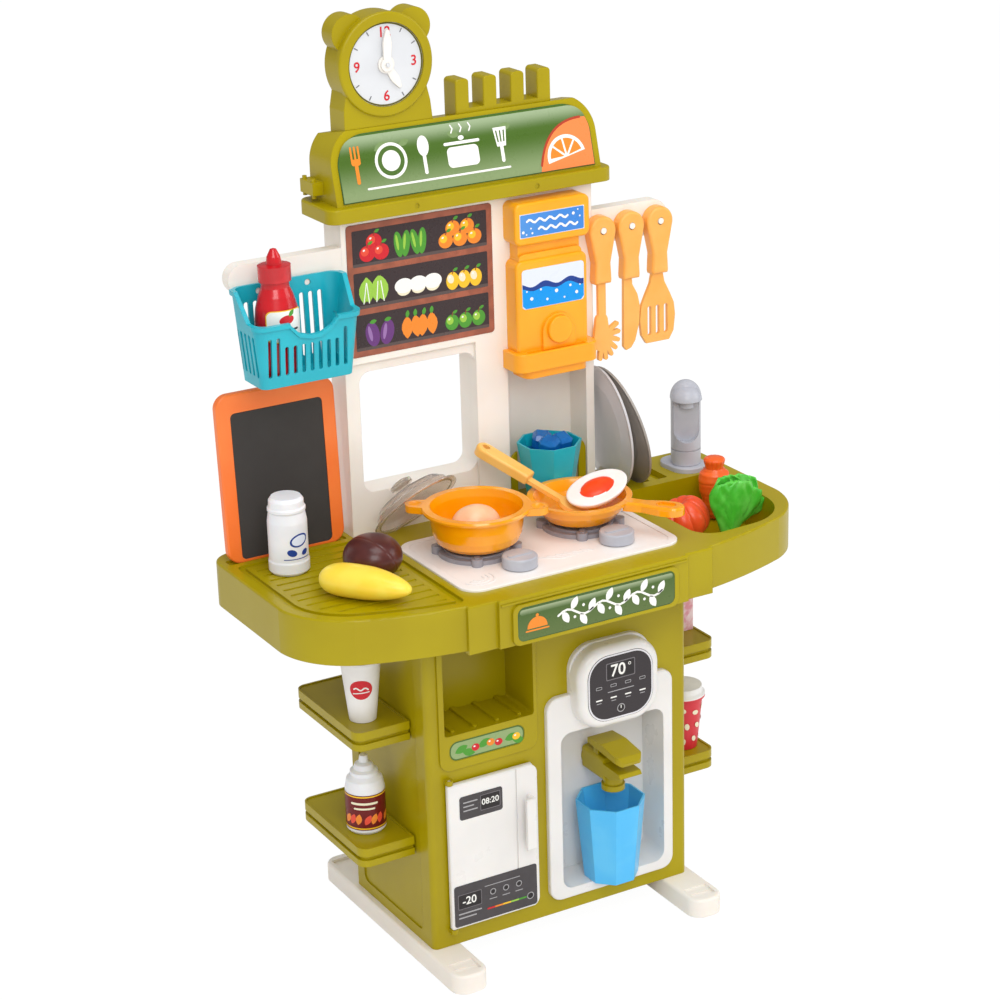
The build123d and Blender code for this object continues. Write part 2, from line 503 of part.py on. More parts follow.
stem += post(7.5, SPOUT_Z - 8, 9, 0, -FAUCET_R + 7)
stem -= post(9.0 + RUN, collar_top - 1, 11.5)
stem = Rot(0, 0, FAUCET_TURN) * stem
faucet = Pos(FAUCET_X, FAUCET_Y, 0) * stem

# ---- Tower ------------------------------------------------------------------------------------------
tower_outline = between(TOWER_LEFT, TOWER_RIGHT, TOP, TOWER_TOP)
window = between(*WINDOW, WINDOW_R)
niche = arched(NICHE[0], NICHE[1], TOP - 1, NICHE[2], 6)
front_region = tower_outline - window - niche
tower_front = upright(front_region, TOWER_FRONT, TOWER_SEAM - TOWER_FRONT)
tower_front += upright(between(TOWER_LEFT, 27, 590, TOWER_TOP) + between(0, TOWER_RIGHT, TOP, TOWER_TOP) - niche,
                       TOWER_FACE, TOWER_FRONT - TOWER_FACE + 0.5)
core = offset(between(TOWER_LEFT, TOWER_RIGHT, TOP, TOWER_TOP), -SHELL)
core -= offset(window, SHELL)
core -= between(NICHE[0] - SHELL, NICHE[1] + SHELL, TOP - 1, NICHE[2] + SHELL)
tower_front -= upright(core, TOWER_FRONT + SHELL, TOWER_SEAM)
picture_outline = between(*PICTURE, 4)
tower_front -= upright(picture_outline, TOWER_FACE - 1, 2)
produce_board = upright(offset(picture_outline, -0.1), TOWER_FACE - 0.4, 1.4)
tower_rear = upright(tower_outline - window, TOWER_SEAM, TOWER_BACK - TOWER_SEAM)
tower_rear -= upright(core, TOWER_SEAM - 1, TOWER_BACK - SHELL - TOWER_SEAM + 1)
tower_rear -= upright(between(NICHE[0], NICHE[1], TOP - 1, NICHE[2], 6), TOWER_SEAM - 1,
                      TOWER_BACK - SHELL - TOWER_SEAM + 1)
for x in (-125, 130):
    for z in (430, 720):
        tower_rear -= rod(3.5, TOWER_BACK - 1.2, 2, x, z)

# ---- Arms that carry the basket and the utensils ------------------------------------------------------
left_arm = between(-262, TOWER_LEFT, 680, 709, 14) + between(-200, TOWER_LEFT, 680, 709)
right_arm = between(TOWER_RIGHT, 228, 668, 704, 17.5) + between(TOWER_RIGHT, 180, 668, 704)
arms = [upright(left_arm, TOWER_FACE, ARM_T), upright(right_arm, TOWER_FACE, ARM_T)]
for x in BASKET_HANG_X:
    arms[0] += rod(BASKET_PEG_R, TOWER_FACE - 4.6, 5.6, x, BASKET_PEG_Z)
for x in HANG_X:
    arms[1] += rod(HANG_R, TOWER_FACE - 13, 13, x, HANG_Z)

# ---- Drinking fountain --------------------------------------------------------------------------------
FOUNTAIN_X = (36.5, 119.0)
LABEL = (40.0, 114.0, 694.0, 718.0)
WATER = (42.5, 114.5, 620.5, 661.0)
fountain = upright(between(35, 121, 686, 728.5, 7), 124, TOWER_FACE - 124)
fountain = fillet(fountain.faces().sort_by(Axis.Y)[0].outer_wire().edges(), 3.0)
fountain += span(42, 113, 133, TOWER_FACE, 670, 690)
bodywork = upright(between(FOUNTAIN_X[0], FOUNTAIN_X[1], 572, 670, 8), 127, TOWER_FACE - 127)
bodywork = fillet(bodywork.faces().sort_by(Axis.Y)[0].outer_wire().edges(), 3.5)
fountain += bodywork
fountain += upright(between(FOUNTAIN_X[0] + 5, FOUNTAIN_X[1] - 5, 660, 676, 6), 130, TOWER_FACE - 130)
ledge = laid(between(31, 127, 117, TOWER_FACE + 14, 12) & between(31, 127, 117, TOWER_FACE), 558, 19)
ledge = fillet(ledge.faces().sort_by(Axis.Z)[-1].edges().filter_by(Axis.X), 1.5)
fountain += ledge
fountain += laid(between(42, 116, 121, TOWER_FACE + 12, 10) & between(42, 116, 121, TOWER_FACE), 549.5, 12)
fountain -= laid(between(44, 112, 119.5, 126, 3), 573, 6)
BUTTON_X, BUTTON_Z, BUTTON_R = 83.0, 589.5, 14.0
button_arch = upright(arched(BUTTON_X - 19, BUTTON_X + 19, 576, 612, 18.5), 124, 5)
fountain += button_arch
fountain -= upright(between(50, 106, 626, 664), 132, TOWER_FACE - 131)
fountain -= rod(BUTTON_R + RUN, 120, 21, BUTTON_X, BUTTON_Z + 6)
fountain -= upright(between(*LABEL), 123, 1 + SIGN_SINK)
fountain -= upright(between(*WATER, 4), 126, 1 + SIGN_SINK)
fountain_labels = [upright(between(*LABEL), 124 + SIGN_SINK - PLATE_T, PLATE_T),
                   upright(between(*WATER, 4), 127 + SIGN_SINK - PLATE_T, PLATE_T)]
button = rod(BUTTON_R, 120.0, 17, BUTTON_X, BUTTON_Z + 6)
button = fillet(button.faces().sort_by(Axis.Y)[0].edges(), 1.5)

# ---- Roof ---------------------------------------------------------------------------------------------
ledge_plate = laid(between(-ROOF_HALF - 13, ROOF_HALF + 9, 134, 205, 12), TOWER_TOP, EAVES - TOWER_TOP)
ledge_plate = fillet(ledge_plate.faces().sort_by(Axis.Z)[-1].edges(), 2.0)
for x in (-67, 67):
    ledge_plate -= rod(2.5, 133, 2, x, 741.5)
profile = make_face(Polyline(*ROOF_PROFILE, close=True))
housing = sideways(profile, -ROOF_HALF, 2 * ROOF_HALF)
housing &= upright(arched(-ROOF_HALF, ROOF_HALF, EAVES, RIDGE + 4, ROOF_CORNER), 130, 90)
cavity = sideways(offset(profile, -SHELL) + between(148, 196, EAVES - 10, EAVES + 6), -ROOF_HALF + SHELL,
                  2 * (ROOF_HALF - SHELL))
cavity &= upright(arched(-ROOF_HALF + SHELL, ROOF_HALF - SHELL, EAVES - 20, RIDGE + 1, ROOF_CORNER - SHELL), 130, 90)
roof = ledge_plate + housing - cavity
roof -= span(-130, 130, 152, 180, TOWER_TOP - 1, EAVES)
hook = span(-ROOF_HALF - 11, -ROOF_HALF, 173, 200, 756, 769)
for y in (177, 196):
    hook += post(2.2, 753, 19, -ROOF_HALF - 8, y)
roof += hook
lean_plane = Plane(origin=(0, 144, EAVES), x_dir=(1, 0, 0),
                   z_dir=(0, -cos(radians(SIGN_LEAN)), sin(radians(SIGN_LEAN))))
roof_sign = extrude(lean_plane * arched(-ROOF_HALF + 7, ROOF_HALF - 7, 2, 66, 31), amount=1.2)

# ---- Knife rack ----------------------------------------------------------------------------------------
rack_outline = between(PRONGS[0], PRONGS[-1] + PRONG_W, 806, 821)
for x in PRONGS:
    rack_outline += arched(x, x + PRONG_W, 815, 850, 4)
rack = upright(rack_outline, 165, 23)
rack = fillet(rack.faces().sort_by(Axis.Y)[0].edges().group_by(Axis.Z)[-1], 1.5)
rack -= sideways(profile, -ROOF_HALF, 2 * ROOF_HALF)

# ---- Clock ---------------------------------------------------------------------------------------------
clock_outline = Pos(CLOCK_X, CLOCK_Z) * Circle(BEZEL_R - 1)
pedestal = make_face(Polyline((CLOCK_X - 46, 806), (CLOCK_X + 50, 806), (CLOCK_X + 47, 835), (CLOCK_X + 42, 856),
                              (CLOCK_X - 42, 856), (CLOCK_X - 46, 835), close=True))
clock_case = upright(clock_outline + pedestal, CLOCK_FRONT + 3, CLOCK_D - 3)
for side in (-1, 1):
    clock_case += rod(EAR_R, CLOCK_FRONT + 8, CLOCK_D - 12, CLOCK_X + side * EAR_X, CLOCK_Z + EAR_Z)
bezel = rod(BEZEL_R, CLOCK_FRONT, 8, CLOCK_X, CLOCK_Z)
bezel = fillet(bezel.faces().sort_by(Axis.Y)[0].edges(), 2.5)
clock_case += bezel
clock_case -= rod(DIAL_R + 0.2, CLOCK_FRONT - 1, 5, CLOCK_X, CLOCK_Z)
clock_case -= rod(DIAL_R - 6, CLOCK_FRONT + 3, CLOCK_D - 6, CLOCK_X, CLOCK_Z)
clock_case -= sideways(profile, -ROOF_HALF, 2 * ROOF_HALF)
DIAL_Y = CLOCK_FRONT + 2.6
HAND_PIN_R = 2.0
clock_dial = rod(DIAL_R, DIAL_Y, 1.4, CLOCK_X, CLOCK_Z)
clock_dial += rod(HAND_PIN_R, DIAL_Y - 6.4, 7, CLOCK_X, CLOCK_Z)


def hand(length, width, boss_r, y, thickness, angle):
    """Clock hand on the centre pin, pointing `angle` degrees clockwise from twelve."""
    shape = Circle(boss_r) + hulled((0, 0, width - 1), (0, length * 0.6, width)) + \
        hulled((0, length * 0.6, width), (0, length - 2, 2.0))
    shape -= Circle(HAND_PIN_R + RUN)
    return upright(Pos(CLOCK_X, CLOCK_Z) * Rot(0, 0, -angle) * shape, y, thickness)


hour_hand = hand(27.5, 4.4, 8.5, DIAL_Y - 2.4, 2.1, 148)
minute_hand = hand(33.5, 4.6, 6.5, DIAL_Y - 4.8, 2.1, 2)

# ---- Blackboard ----------------------------------------------------------------------------------------
BOARD_T = 8.0
BOARD_LEAN = 3.2
board_outline = between(-63, 63, 0, 170, 14)
board_frame = upright(board_outline, 0, BOARD_T)
board_frame = fillet(board_frame.faces().sort_by(Axis.Y)[0].outer_wire().edges(), 2.0)
slate_outline = between(-49, 49, 3.5, 151, 5)
board_frame -= upright(slate_outline, -1, 3)
board_place = Pos(BOARD_X, 156.6, TOP - BOARD_GROOVE + FIT + 0.2) * Rot(-BOARD_LEAN, 0, 0)
board_slate = board_place * upright(offset(slate_outline, -0.1), 0.6, 1.4)
board_frame = board_place * board_frame

# ---- Basket and sauce bottle ---------------------------------------------------------------------------
BASKET_FLOOR = 601.0
BASKET_X = -209.0


def tub(spread, floor, top):
    """Tapered tub of the basket, grown or shrunk by spread on every side, between two heights."""
    foot_rect = RectangleRounded(96 + 2 * spread, 47 + 2 * spread, 8)
    top_rect = RectangleRounded(115 + 2 * spread, 58 + 2 * spread, 12)
    return loft([Pos(BASKET_X, 118.5, floor) * foot_rect, Pos(BASKET_X + 1.5, 116.6, top) * top_rect])


BASKET_TOP = 693.0
basket_inner = tub(-2.5, BASKET_FLOOR + THIN + 0.5, BASKET_TOP + 3)
rim_cut = make_face(Polyline((60, 661), (108, 664), (128, 690), (160, 690), (160, 730), (60, 730), close=True))
dip = make_face(Polyline((-236, 700), (-228, 661), (-219, 652), (-207, 648.5), (-196, 649), (-186, 654), (-179, 661),
                         (-172, 700), close=True))
cut = sideways(rim_cut, -300, 200) + upright(dip, 40, 75)
basket = tub(0, BASKET_FLOOR, BASKET_TOP) - basket_inner - cut
LIP_H = 4.5
lip_band = (tub(1.8, BASKET_FLOOR, BASKET_TOP - 0.1) - basket_inner) & Pos(0, 0, -LIP_H) * cut
basket += lip_band - cut - span(-300, -100, 140, 160, 600, 720)
SLATS = 10
for index in range(SLATS):
    x = -249 + index * 8.7
    low, high = (612, 640) if -236 < x < -176 else (612, 650)
    basket -= upright(between(x - 1.9, x + 1.9, low, high, 1.8), 70, 45)
for index in range(5):
    y = 102 + index * 8.5
    slot = between(y - 1.9, y + 1.9, 612, 652, 1.8)
    basket -= sideways(slot, -290, 60)
    basket -= sideways(slot, -185, 60)
for index in range(9):
    x = -248 + index * 9.6
    basket -= upright(between(x - 2.4, x + 2.4, 612, 674, 2.3), 134, 20)
for x in BASKET_HANG_X:
    basket -= rod(BASKET_PEG_R + FIT, 130, 20, x, BASKET_PEG_Z)
sauce_profile = ((0, 0), (17, 0), (19.5, 3), (19.5, 58), (18.5, 68), (15.5, 80), (12.5, 88), (12, 94), (14.5, 94),
                 (14.5, 109), (7, 110), (6, 117), (2.8, 124), (0, 125))
sauce_bottle = Pos(-228, 118.3, BASKET_FLOOR + THIN + 0.5 + FIT) * scale(turned(sauce_profile), by=(1.1, 1, 1))

# ---- Utensils ------------------------------------------------------------------------------------------
HANDLE_T = 12.0
HANDLE_Y = TOWER_FACE - FIT - HANDLE_T
HANDLE_TOP = 698.5
HANDLE_FOOT = 628.5


def handle(x):
    """Handle outline: a round head on the peg, a waist and a flared foot."""
    shape = hulled((x, HANDLE_TOP - 15.5, 15.5), (x, HANDLE_FOOT + 22, 8.8))
    shape += hulled((x, HANDLE_FOOT + 22, 8.8), (x, HANDLE_FOOT + 4, 9.8))
    shape &= between(x - 30, x + 30, HANDLE_FOOT, HANDLE_TOP + 5)
    return shape - Pos(x, HANG_Z - FIT) * Circle(HANG_R + 2 * FIT)


def utensil(x, tool):
    """Handle with a thinner working end joined to its foot."""
    body = upright(handle(x), HANDLE_Y, HANDLE_T)
    body = fillet(body.faces().sort_by(Axis.Y)[0].outer_wire().edges(), 3.0)
    return body + upright(tool, HANDLE_Y + 4, 4)


def outlined(x, *points):
    """Face through points given from x."""
    return make_face(Polyline(*[(x + across, height) for across, height in points], close=True))


x = HANG_X[2] - 2
half_blade = ((6.5, 640), (6.5, 629), (8.5, 619), (15, 606), (20, 595), (21.5, 582), (19.5, 565), (14, 556))
blade = outlined(x, *half_blade, *[(-across, height) for across, height in reversed(half_blade)])
for shift in (-10, 0, 10):
    blade -= between(x + shift - 2.2, x + shift + 2.2, 564, 595, 2.1)
slotted_spatula = utensil(HANG_X[2], blade)
x = HANG_X[1]
knife_blade = outlined(x, (-8, 640), (1, 640), (2, 622), (8, 611), (11, 598), (10, 580), (5, 562), (0, 555),
                       (-6, 553), (-9, 557), (-8.5, 600))
toy_knife = utensil(x, knife_blade)
x = HANG_X[0]
server = between(x - 5, x + 4, 590, 640) + hulled((x - 1, 590, 7), (x - 1, 567, 10))
for index in range(7):
    angle = radians(-100 + 21 * index)
    reach = (x + 19 * cos(angle), 573 + 24 * sin(angle), 2.3)
    server += hulled((x, 573, 3), reach)
pasta_server = utensil(x, server)

# ---- Plates --------------------------------------------------------------------------------------------
PLATE_R = 65.0
PLATE_PROFILE = ((0, 0), (47, 0), (49, 0.6), (61, 3.4), (PLATE_R, 3.4), (PLATE_R, 5.8), (60, 5.8), (48, 2.6),
                 (0, 2.6))


def plate(x, lean, yaw, drop):
    """Plate standing on edge in its slot, leaning towards the tower; a leaning one seats lower."""
    dish = turned(PLATE_PROFILE)
    stood = Rot(0, 90, 0) * dish
    raised = Pos(0, 0, PLATE_R) * stood
    bottom = TOP - SLOT_DEPTH + FIT - drop
    return Pos(x, SLOT_Y, bottom) * Rot(0, 0, yaw) * Rot(0, -lean, 0) * raised


plate_left = plate(153.3, 5.2, -7, 0.7)
plate_right = plate(179.5, 13.6, -5, 1.0)

# ---- Pots and pans -------------------------------------------------------------------------------------
PAN_FOOT = BURNER_TOP + FIT
POT_X, POT_Y = -61.5, 46.0
POT_PROFILE = ((0, 0), (29, 0), (36, 2.2), (41, 6.5), (44, 14), (45.6, 24), (46.5, 34), (53, 36), (54, 38.4),
               (53, 40.4), (45.5, 40.4), (43.5, 33), (42.6, 24), (41, 15), (38, 8.5), (33, 4.6), (28, 3), (0, 3))
ear_shape = hulled((48, 0, 12), (60, 0, 10))
pot = turned(POT_PROFILE)
for angle in (-37, 143):
    ear = laid(ear_shape, 33.4, 7.0) - post(50, 20, 30) - Pos(60, 0, 47) * Sphere(9.5)
    pot += Rot(0, 0, angle) * ear
pot = Pos(POT_X, POT_Y, PAN_FOOT) * pot
pot_egg = Pos(POT_X - 3, POT_Y - 3, PAN_FOOT + 3 + FIT + 19) * Rot(0, 0, -10) * ellipsoid(24.5, 19, 19)
PAN_X, PAN_Y = 58.0, 50.0
PAN_PROFILE = ((0, 0), (28, 0), (35, 3), (44, 13), (47.5, 20), (51.5, 21), (52.5, 24.7), (46.5, 24.7), (42, 14),
               (33.5, 5.6), (27, 2.6), (0, 2.6))
frying_pan = turned(PAN_PROFILE)
grip_outline = hulled((51, 0, 9), (68, 0, 7.5)) + hulled((68, 0, 7.5), (88, 0, 12), (97, 0, 12))
grip_bar = laid(grip_outline, 15.7, 9.0)
grip_bar = fillet(grip_bar.faces().sort_by(Axis.Z)[-1].outer_wire().edges(), 3.0) - post(49, 0, 60)
grip_bar -= laid(hulled((86, 0, 5.5), (95, 0, 5.5)), 22.7, 5)
frying_pan += Rot(0, 0, -52) * grip_bar
frying_pan = Pos(PAN_X, PAN_Y, PAN_FOOT) * frying_pan
egg_white = ellipsoid(35, 24, 13) & Pos(0, 0, -20) * Box(80, 80, 40)
egg_yolk = ellipsoid(18, 13, 5) & Pos(0, 0, 4) * Box(60, 60, 10)
egg_half = Pos(76, 46, PAN_FOOT + 29.5) * Rot(13, 0, 0) * Rot(0, -8, 0) * (egg_white + egg_yolk)

# ---- Spoon resting in the pan --------------------------------------------------------------------------
spoon_side = Plane(origin=(28, 86, 450.8), x_dir=(-0.519, 0.748, 0.414), z_dir=(0.236, -0.340, 0.910))
neck = hulled((-30, 0, 4.5), (12, 0, 4.5))
bowl = hulled((-54, 0, 9), (-40, 0, 11))
spoon = extrude(spoon_side * (neck + bowl), amount=4.0)
spoon_grip = extrude(spoon_side * (hulled((12, 0, 8.8), (62, 0, 9.6)) & between(8, 80, -20, 20)), amount=10.0)
spoon_face = spoon_grip.faces().sort_by(Axis(spoon_side.origin, spoon_side.z_dir))[-1]
spoon_grip = fillet(spoon_face.outer_wire().edges(), 3.0)
spoon += spoon_grip - extrude(spoon_side * (Pos(62, 0) * Circle(4.0)), amount=12)

# ---- Pot lid -------------------------------------------------------------------------------------------
LID_PROFILE = ((0, 19), (22, 17.5), (35, 13.8), (41, 8), (43.5, 2), (48, 1.8), (48, 0), (42, 0), (39.3, 7),
               (34, 11.8), (21.5, 15.6), (0, 17.1))
lid_knob = turned(((0, 18), (6, 18), (6, 22), (12, 24.5), (12, 28), (9, 29.5), (0, 29.5)))
lid_shape = turned(LID_PROFILE) + lid_knob
lid_axis = Plane(origin=(-92.0, 113.0, 446.2), x_dir=(0.938, 0.347, 0.0), z_dir=(-0.252, 0.682, 0.69))
pot_lid = lid_axis * lid_shape

# ---- Cups ----------------------------------------------------------------------------------------------
teal_cup = Pos(71, 128.6, TOP + FIT) * Rot(0, 0, 22.5) * octagonal_cup(22, 33.5, 67, THIN)
drink = loft([Pos(0, 0, THIN + FIT) * RegularPolygon(19, 8), Pos(0, 0, 55) * RegularPolygon(28, 8)])
cubes = [drink]
for x, y, rise, angle in ((-8, -6, 2, 12), (12, -7, 0, -20), (3, 12, 1, 35)):
    cube = chamfer(Box(19, 19, 18).edges(), 4.0)
    cubes.append(Pos(x, y, 55 + 8 + rise) * Rot(14, -10, angle) * cube)
ice_cubes = [Pos(71, 128.6, TOP + FIT) * Rot(0, 0, 22.5) * cube for cube in cubes]
blue_cup = Pos(TAP_X, -1.2, RECESS_BOTTOM + FIT) * Rot(0, 0, 22.5) * octagonal_cup(28, 36, 87, THIN)

# ---- Bottles and food ----------------------------------------------------------------------------------
milk_bottle = turned(((0, 0), (18, 0), (20, 2.5), (20, 12), (19.3, 14), (19.3, 52), (18, 60), (17.5, 62), (18.6, 63),
                      (18.6, 65.5), (17.2, 67), (17, 73), (14.5, 76.5), (0, 76.5)), BOARD_X - 20, 112,
                     DRAINER_TOP + FIT)
brown_ball = Pos(-174, 50, DRAINER_TOP + FIT) * swelled((0, 43), (16, 39.5), (27.5, 26), (28, 13), (21, 1), (0, 0))
yellow_fruit = Pos(-205, 5, DRAINER_TOP + FIT + 16) * Rot(0, 0, -58.5) * ellipsoid(50, 19, 16)
tomato = Pos(183, 52, SINK_FLOOR + FIT) * swelled((0, 46), (17, 44.5), (28, 24), (19, 2.5), (0, 0))
carrot_body = swelled((0, 60), (11, 57), (16, 46), (13.5, 26), (8, 7), (0, 0))
carrot_body += turned(((0, 55), (8, 55), (10.5, 66), (9, 69), (0, 69)))
carrot = Pos(COUNTER_HALF - 42, 84, SINK_FLOOR + FIT) * carrot_body
leaf = ellipsoid(20, 13, 28)
cabbage_body = Pos(0, 0, 14) * ellipsoid(13, 11, 14)
for shift, angle in ((-6, -14), (8, 15)):
    cabbage_body += Pos(shift, 0, 37) * Rot(0, angle, 0) * leaf
cabbage = Pos(COUNTER_HALF - 70, 24, SINK_FLOOR + FIT + 0.8) * Rot(0, 19, 0) * cabbage_body
SHELF_X = CABINET_HALF + 33
paper_cup = Pos(-SHELF_X - 1, 66, SHELF_TOPS[1] - 1 + FIT) * turned(((0, 0), (13.5, 0), (20, 62), (21.5, 62),
                                                                     (21.5, 65), (18, 65), (12, 3), (0, 3)))
chili_bottle = turned(((0, 0), (17.5, 0), (20, 3), (20, 46), (18, 56), (14, 60), (14, 64), (10.5, 66), (9, 71),
                       (5, 73), (4, 80), (0, 81)), -SHELF_X + 3, 78, SHELF_TOPS[0] - 1 + FIT)
carton_side = make_face(Polyline((-17, 0), (17, 0), (17, 55), (2, 74), (2, 80), (-2, 80), (-2, 74), (-17, 55),
                                 close=True))
carton = Pos(SHELF_X + 5, 86, SHELF_TOPS[1] - 1 + FIT) * extrude(Plane.XZ.offset(-17) * carton_side, amount=34)
red_cup = Pos(SHELF_X + 4, 62, SHELF_TOPS[0] - 1 + FIT) * turned(((0, 0), (15, 0), (21, 58), (23.5, 58), (23.5, 62),
                                                          (21, 64), (20, 70), (0, 70)))

# ---- Export --------------------------------------------------------------------------------------------
NODES = {
    "feet": feet, "cabinet_shell": [cabinet], "cabinet_back": [cabinet_back],
    "cabinet_liners": [tray, fridge], "fridge_door": [door], "fridge_displays": fridge_displays,
    "dispenser_panel": [panel], "dispenser_display": [dispenser_display], "tap_body": [tap],
    "tap_lever": [lever], "side_shelves": shelves, "countertop": [counter], "sign_plates": [front_sign, roof_sign],
    "hob_panel": [hob], "burner_grates": burners, "knob_left": [knobs["knob_left"]],
    "knob_right": [knobs["knob_right"]], "faucet_base": [faucet_base], "faucet": [faucet],
    "tower_front": [tower_front], "tower_rear": [tower_rear], "produce_board": [produce_board],
    "side_arms": arms, "fountain_body": [fountain], "fountain_labels": fountain_labels,
    "fountain_button": [button], "roof": [roof], "knife_rack": [rack],
    "clock_case": [clock_case], "clock_dial": [clock_dial], "hour_hand": [hour_hand],
    "minute_hand": [minute_hand], "blackboard_frame": [board_frame], "blackboard_slate": [board_slate],
    "basket": [basket], "sauce_bottle": [sauce_bottle], "slotted_spatula": [slotted_spatula],
    "toy_knife": [toy_knife], "pasta_server": [pasta_server], "plate_left": [plate_left],
    "plate_right": [plate_right], "pot": [pot], "pot_egg": [pot_egg], "pot_lid": [pot_lid],
    "frying_pan": [frying_pan], "egg_half": [egg_half], "serving_spoon": [spoon], "teal_cup": [teal_cup],
    "ice_cubes": ice_cubes, "blue_cup": [blue_cup], "milk_bottle": [milk_bottle],
    "brown_ball": [brown_ball], "yellow_fruit": [yellow_fruit], "tomato": [tomato], "carrot": [carrot],
    "cabbage": [cabbage], "paper_cup": [paper_cup], "chili_bottle": [chili_bottle], "carton": [carton],
    "red_cup": [red_cup],
}

os.makedirs("parts", exist_ok=True)
for name, pieces in NODES.items():
    solids = []
    for piece in pieces:
        solids += piece.solids()
    placed = Pos(0, -FOOTPRINT_MIDDLE, 0) * Compound(children=solids)
    export_step(placed, f"parts/{name}.step")
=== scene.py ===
import logging
from dataclasses import dataclass, replace
from enum import Enum
from math import cos, exp, pi, radians, sin
from typing import Callable, Sequence

import bpy
import bmesh
from mathutils import Matrix, Vector


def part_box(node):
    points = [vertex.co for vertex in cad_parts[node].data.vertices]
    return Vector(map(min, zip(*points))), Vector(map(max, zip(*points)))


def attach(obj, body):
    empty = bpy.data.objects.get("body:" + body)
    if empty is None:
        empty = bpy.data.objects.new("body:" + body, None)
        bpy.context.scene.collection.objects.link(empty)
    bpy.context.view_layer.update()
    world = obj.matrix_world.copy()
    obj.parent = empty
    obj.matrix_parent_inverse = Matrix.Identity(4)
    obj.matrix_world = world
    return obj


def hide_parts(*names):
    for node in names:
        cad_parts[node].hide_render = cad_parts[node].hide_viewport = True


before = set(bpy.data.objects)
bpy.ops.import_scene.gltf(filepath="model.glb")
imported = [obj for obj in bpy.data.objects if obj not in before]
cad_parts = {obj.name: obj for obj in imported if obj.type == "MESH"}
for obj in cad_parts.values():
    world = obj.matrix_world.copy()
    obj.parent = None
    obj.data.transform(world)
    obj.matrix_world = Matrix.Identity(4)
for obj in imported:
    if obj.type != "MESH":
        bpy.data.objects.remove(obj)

MM = 0.001
log = logging.getLogger("toy_kitchen")
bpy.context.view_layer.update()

Node = bpy.types.Node
Socket = bpy.types.NodeSocket
Tree = bpy.types.NodeTree
Material = bpy.types.Material
Object = bpy.types.Object
Point = tuple[float, float]


# ---- Node helper and colours -------------------------------------------------------------------
def linear(colour: str) -> tuple[float, float, float, float]:
    """Turns an sRGB hex colour into linear RGBA.

    Args:
        colour: six hex digits after a hash sign.

    Returns:
        The linear red, green, blue and an alpha of one.
    """
    parts = [int(colour[i:i + 2], 16) / 255 for i in (1, 3, 5)]
    red, green, blue = [c / 12.92 if c <= 0.04045 else ((c + 0.055) / 1.055) ** 2.4 for c in parts]
    return red, green, blue, 1.0


def add(tree: Tree, kind: str, settings: dict | None = None, links: dict | None = None) -> Node:
    """Adds one node to a tree.

    Args:
        tree: the tree that gets the node.
        kind: the node's type, without its "ShaderNode" prefix.
        settings: attribute or input names, or input numbers, with their values.
        links: input names or numbers, with the output sockets that feed them.

    Returns:
        The new node.
    """
    node = tree.nodes.new("ShaderNode" + kind)
    for key, value in (settings or {}).items():
        if isinstance(key, str) and hasattr(node, key):
            setattr(node, key, value)
        else:
            node.inputs[key].default_value = value
    for key, socket in (links or {}).items():
        tree.links.new(socket, node.inputs[key])
    return node


def mix(tree: Tree, factor: Socket | float, low: Socket | str, high: Socket | str) -> Socket:
    """Mixes two colours.

    Args:
        tree: the tree that gets the node.
        factor: the share of the high colour.
        low: the colour at 0, as a socket or in hex.
        high: the colour at 1, as a socket or in hex.

    Returns:
        The mixed colour.
    """
    settings, links = {"data_type": "RGBA"}, {}
    for key, value in ((0, factor), (6, low), (7, high)):
        if isinstance(value, bpy.types.NodeSocket):
            links[key] = value
        else:
            settings[key] = linear(value) if isinstance(value, str) else value
    return add(tree, "Mix", settings, links).outputs[2]


def place(tree: Tree) -> Socket:
    """Gives the object's own coordinates in millimetres."""
    metres = add(tree, "TexCoord").outputs["Object"]
    return add(tree, "VectorMath", {"operation": "MULTIPLY", 1: (1 / MM,) * 3}, {0: metres}).outputs[0]


def ramp(tree: Tree, value: Socket, low: float, high: float) -> Socket:
    """Turns a value into 0 at low and 1 at high, smoothly in between."""
    node = add(tree, "MapRange", {"interpolation_type": "SMOOTHSTEP", "From Min": low, "From Max": high},
               {"Value": value})
    return node.outputs[0]


def blank(name: str) -> Material:
    """Makes a material that has no nodes yet.

    Args:
        name: the material's name.

    Returns:
        The new material.
    """
    made = bpy.data.materials.new(name)
    made.use_nodes = True
    made.node_tree.nodes.clear()
    return made


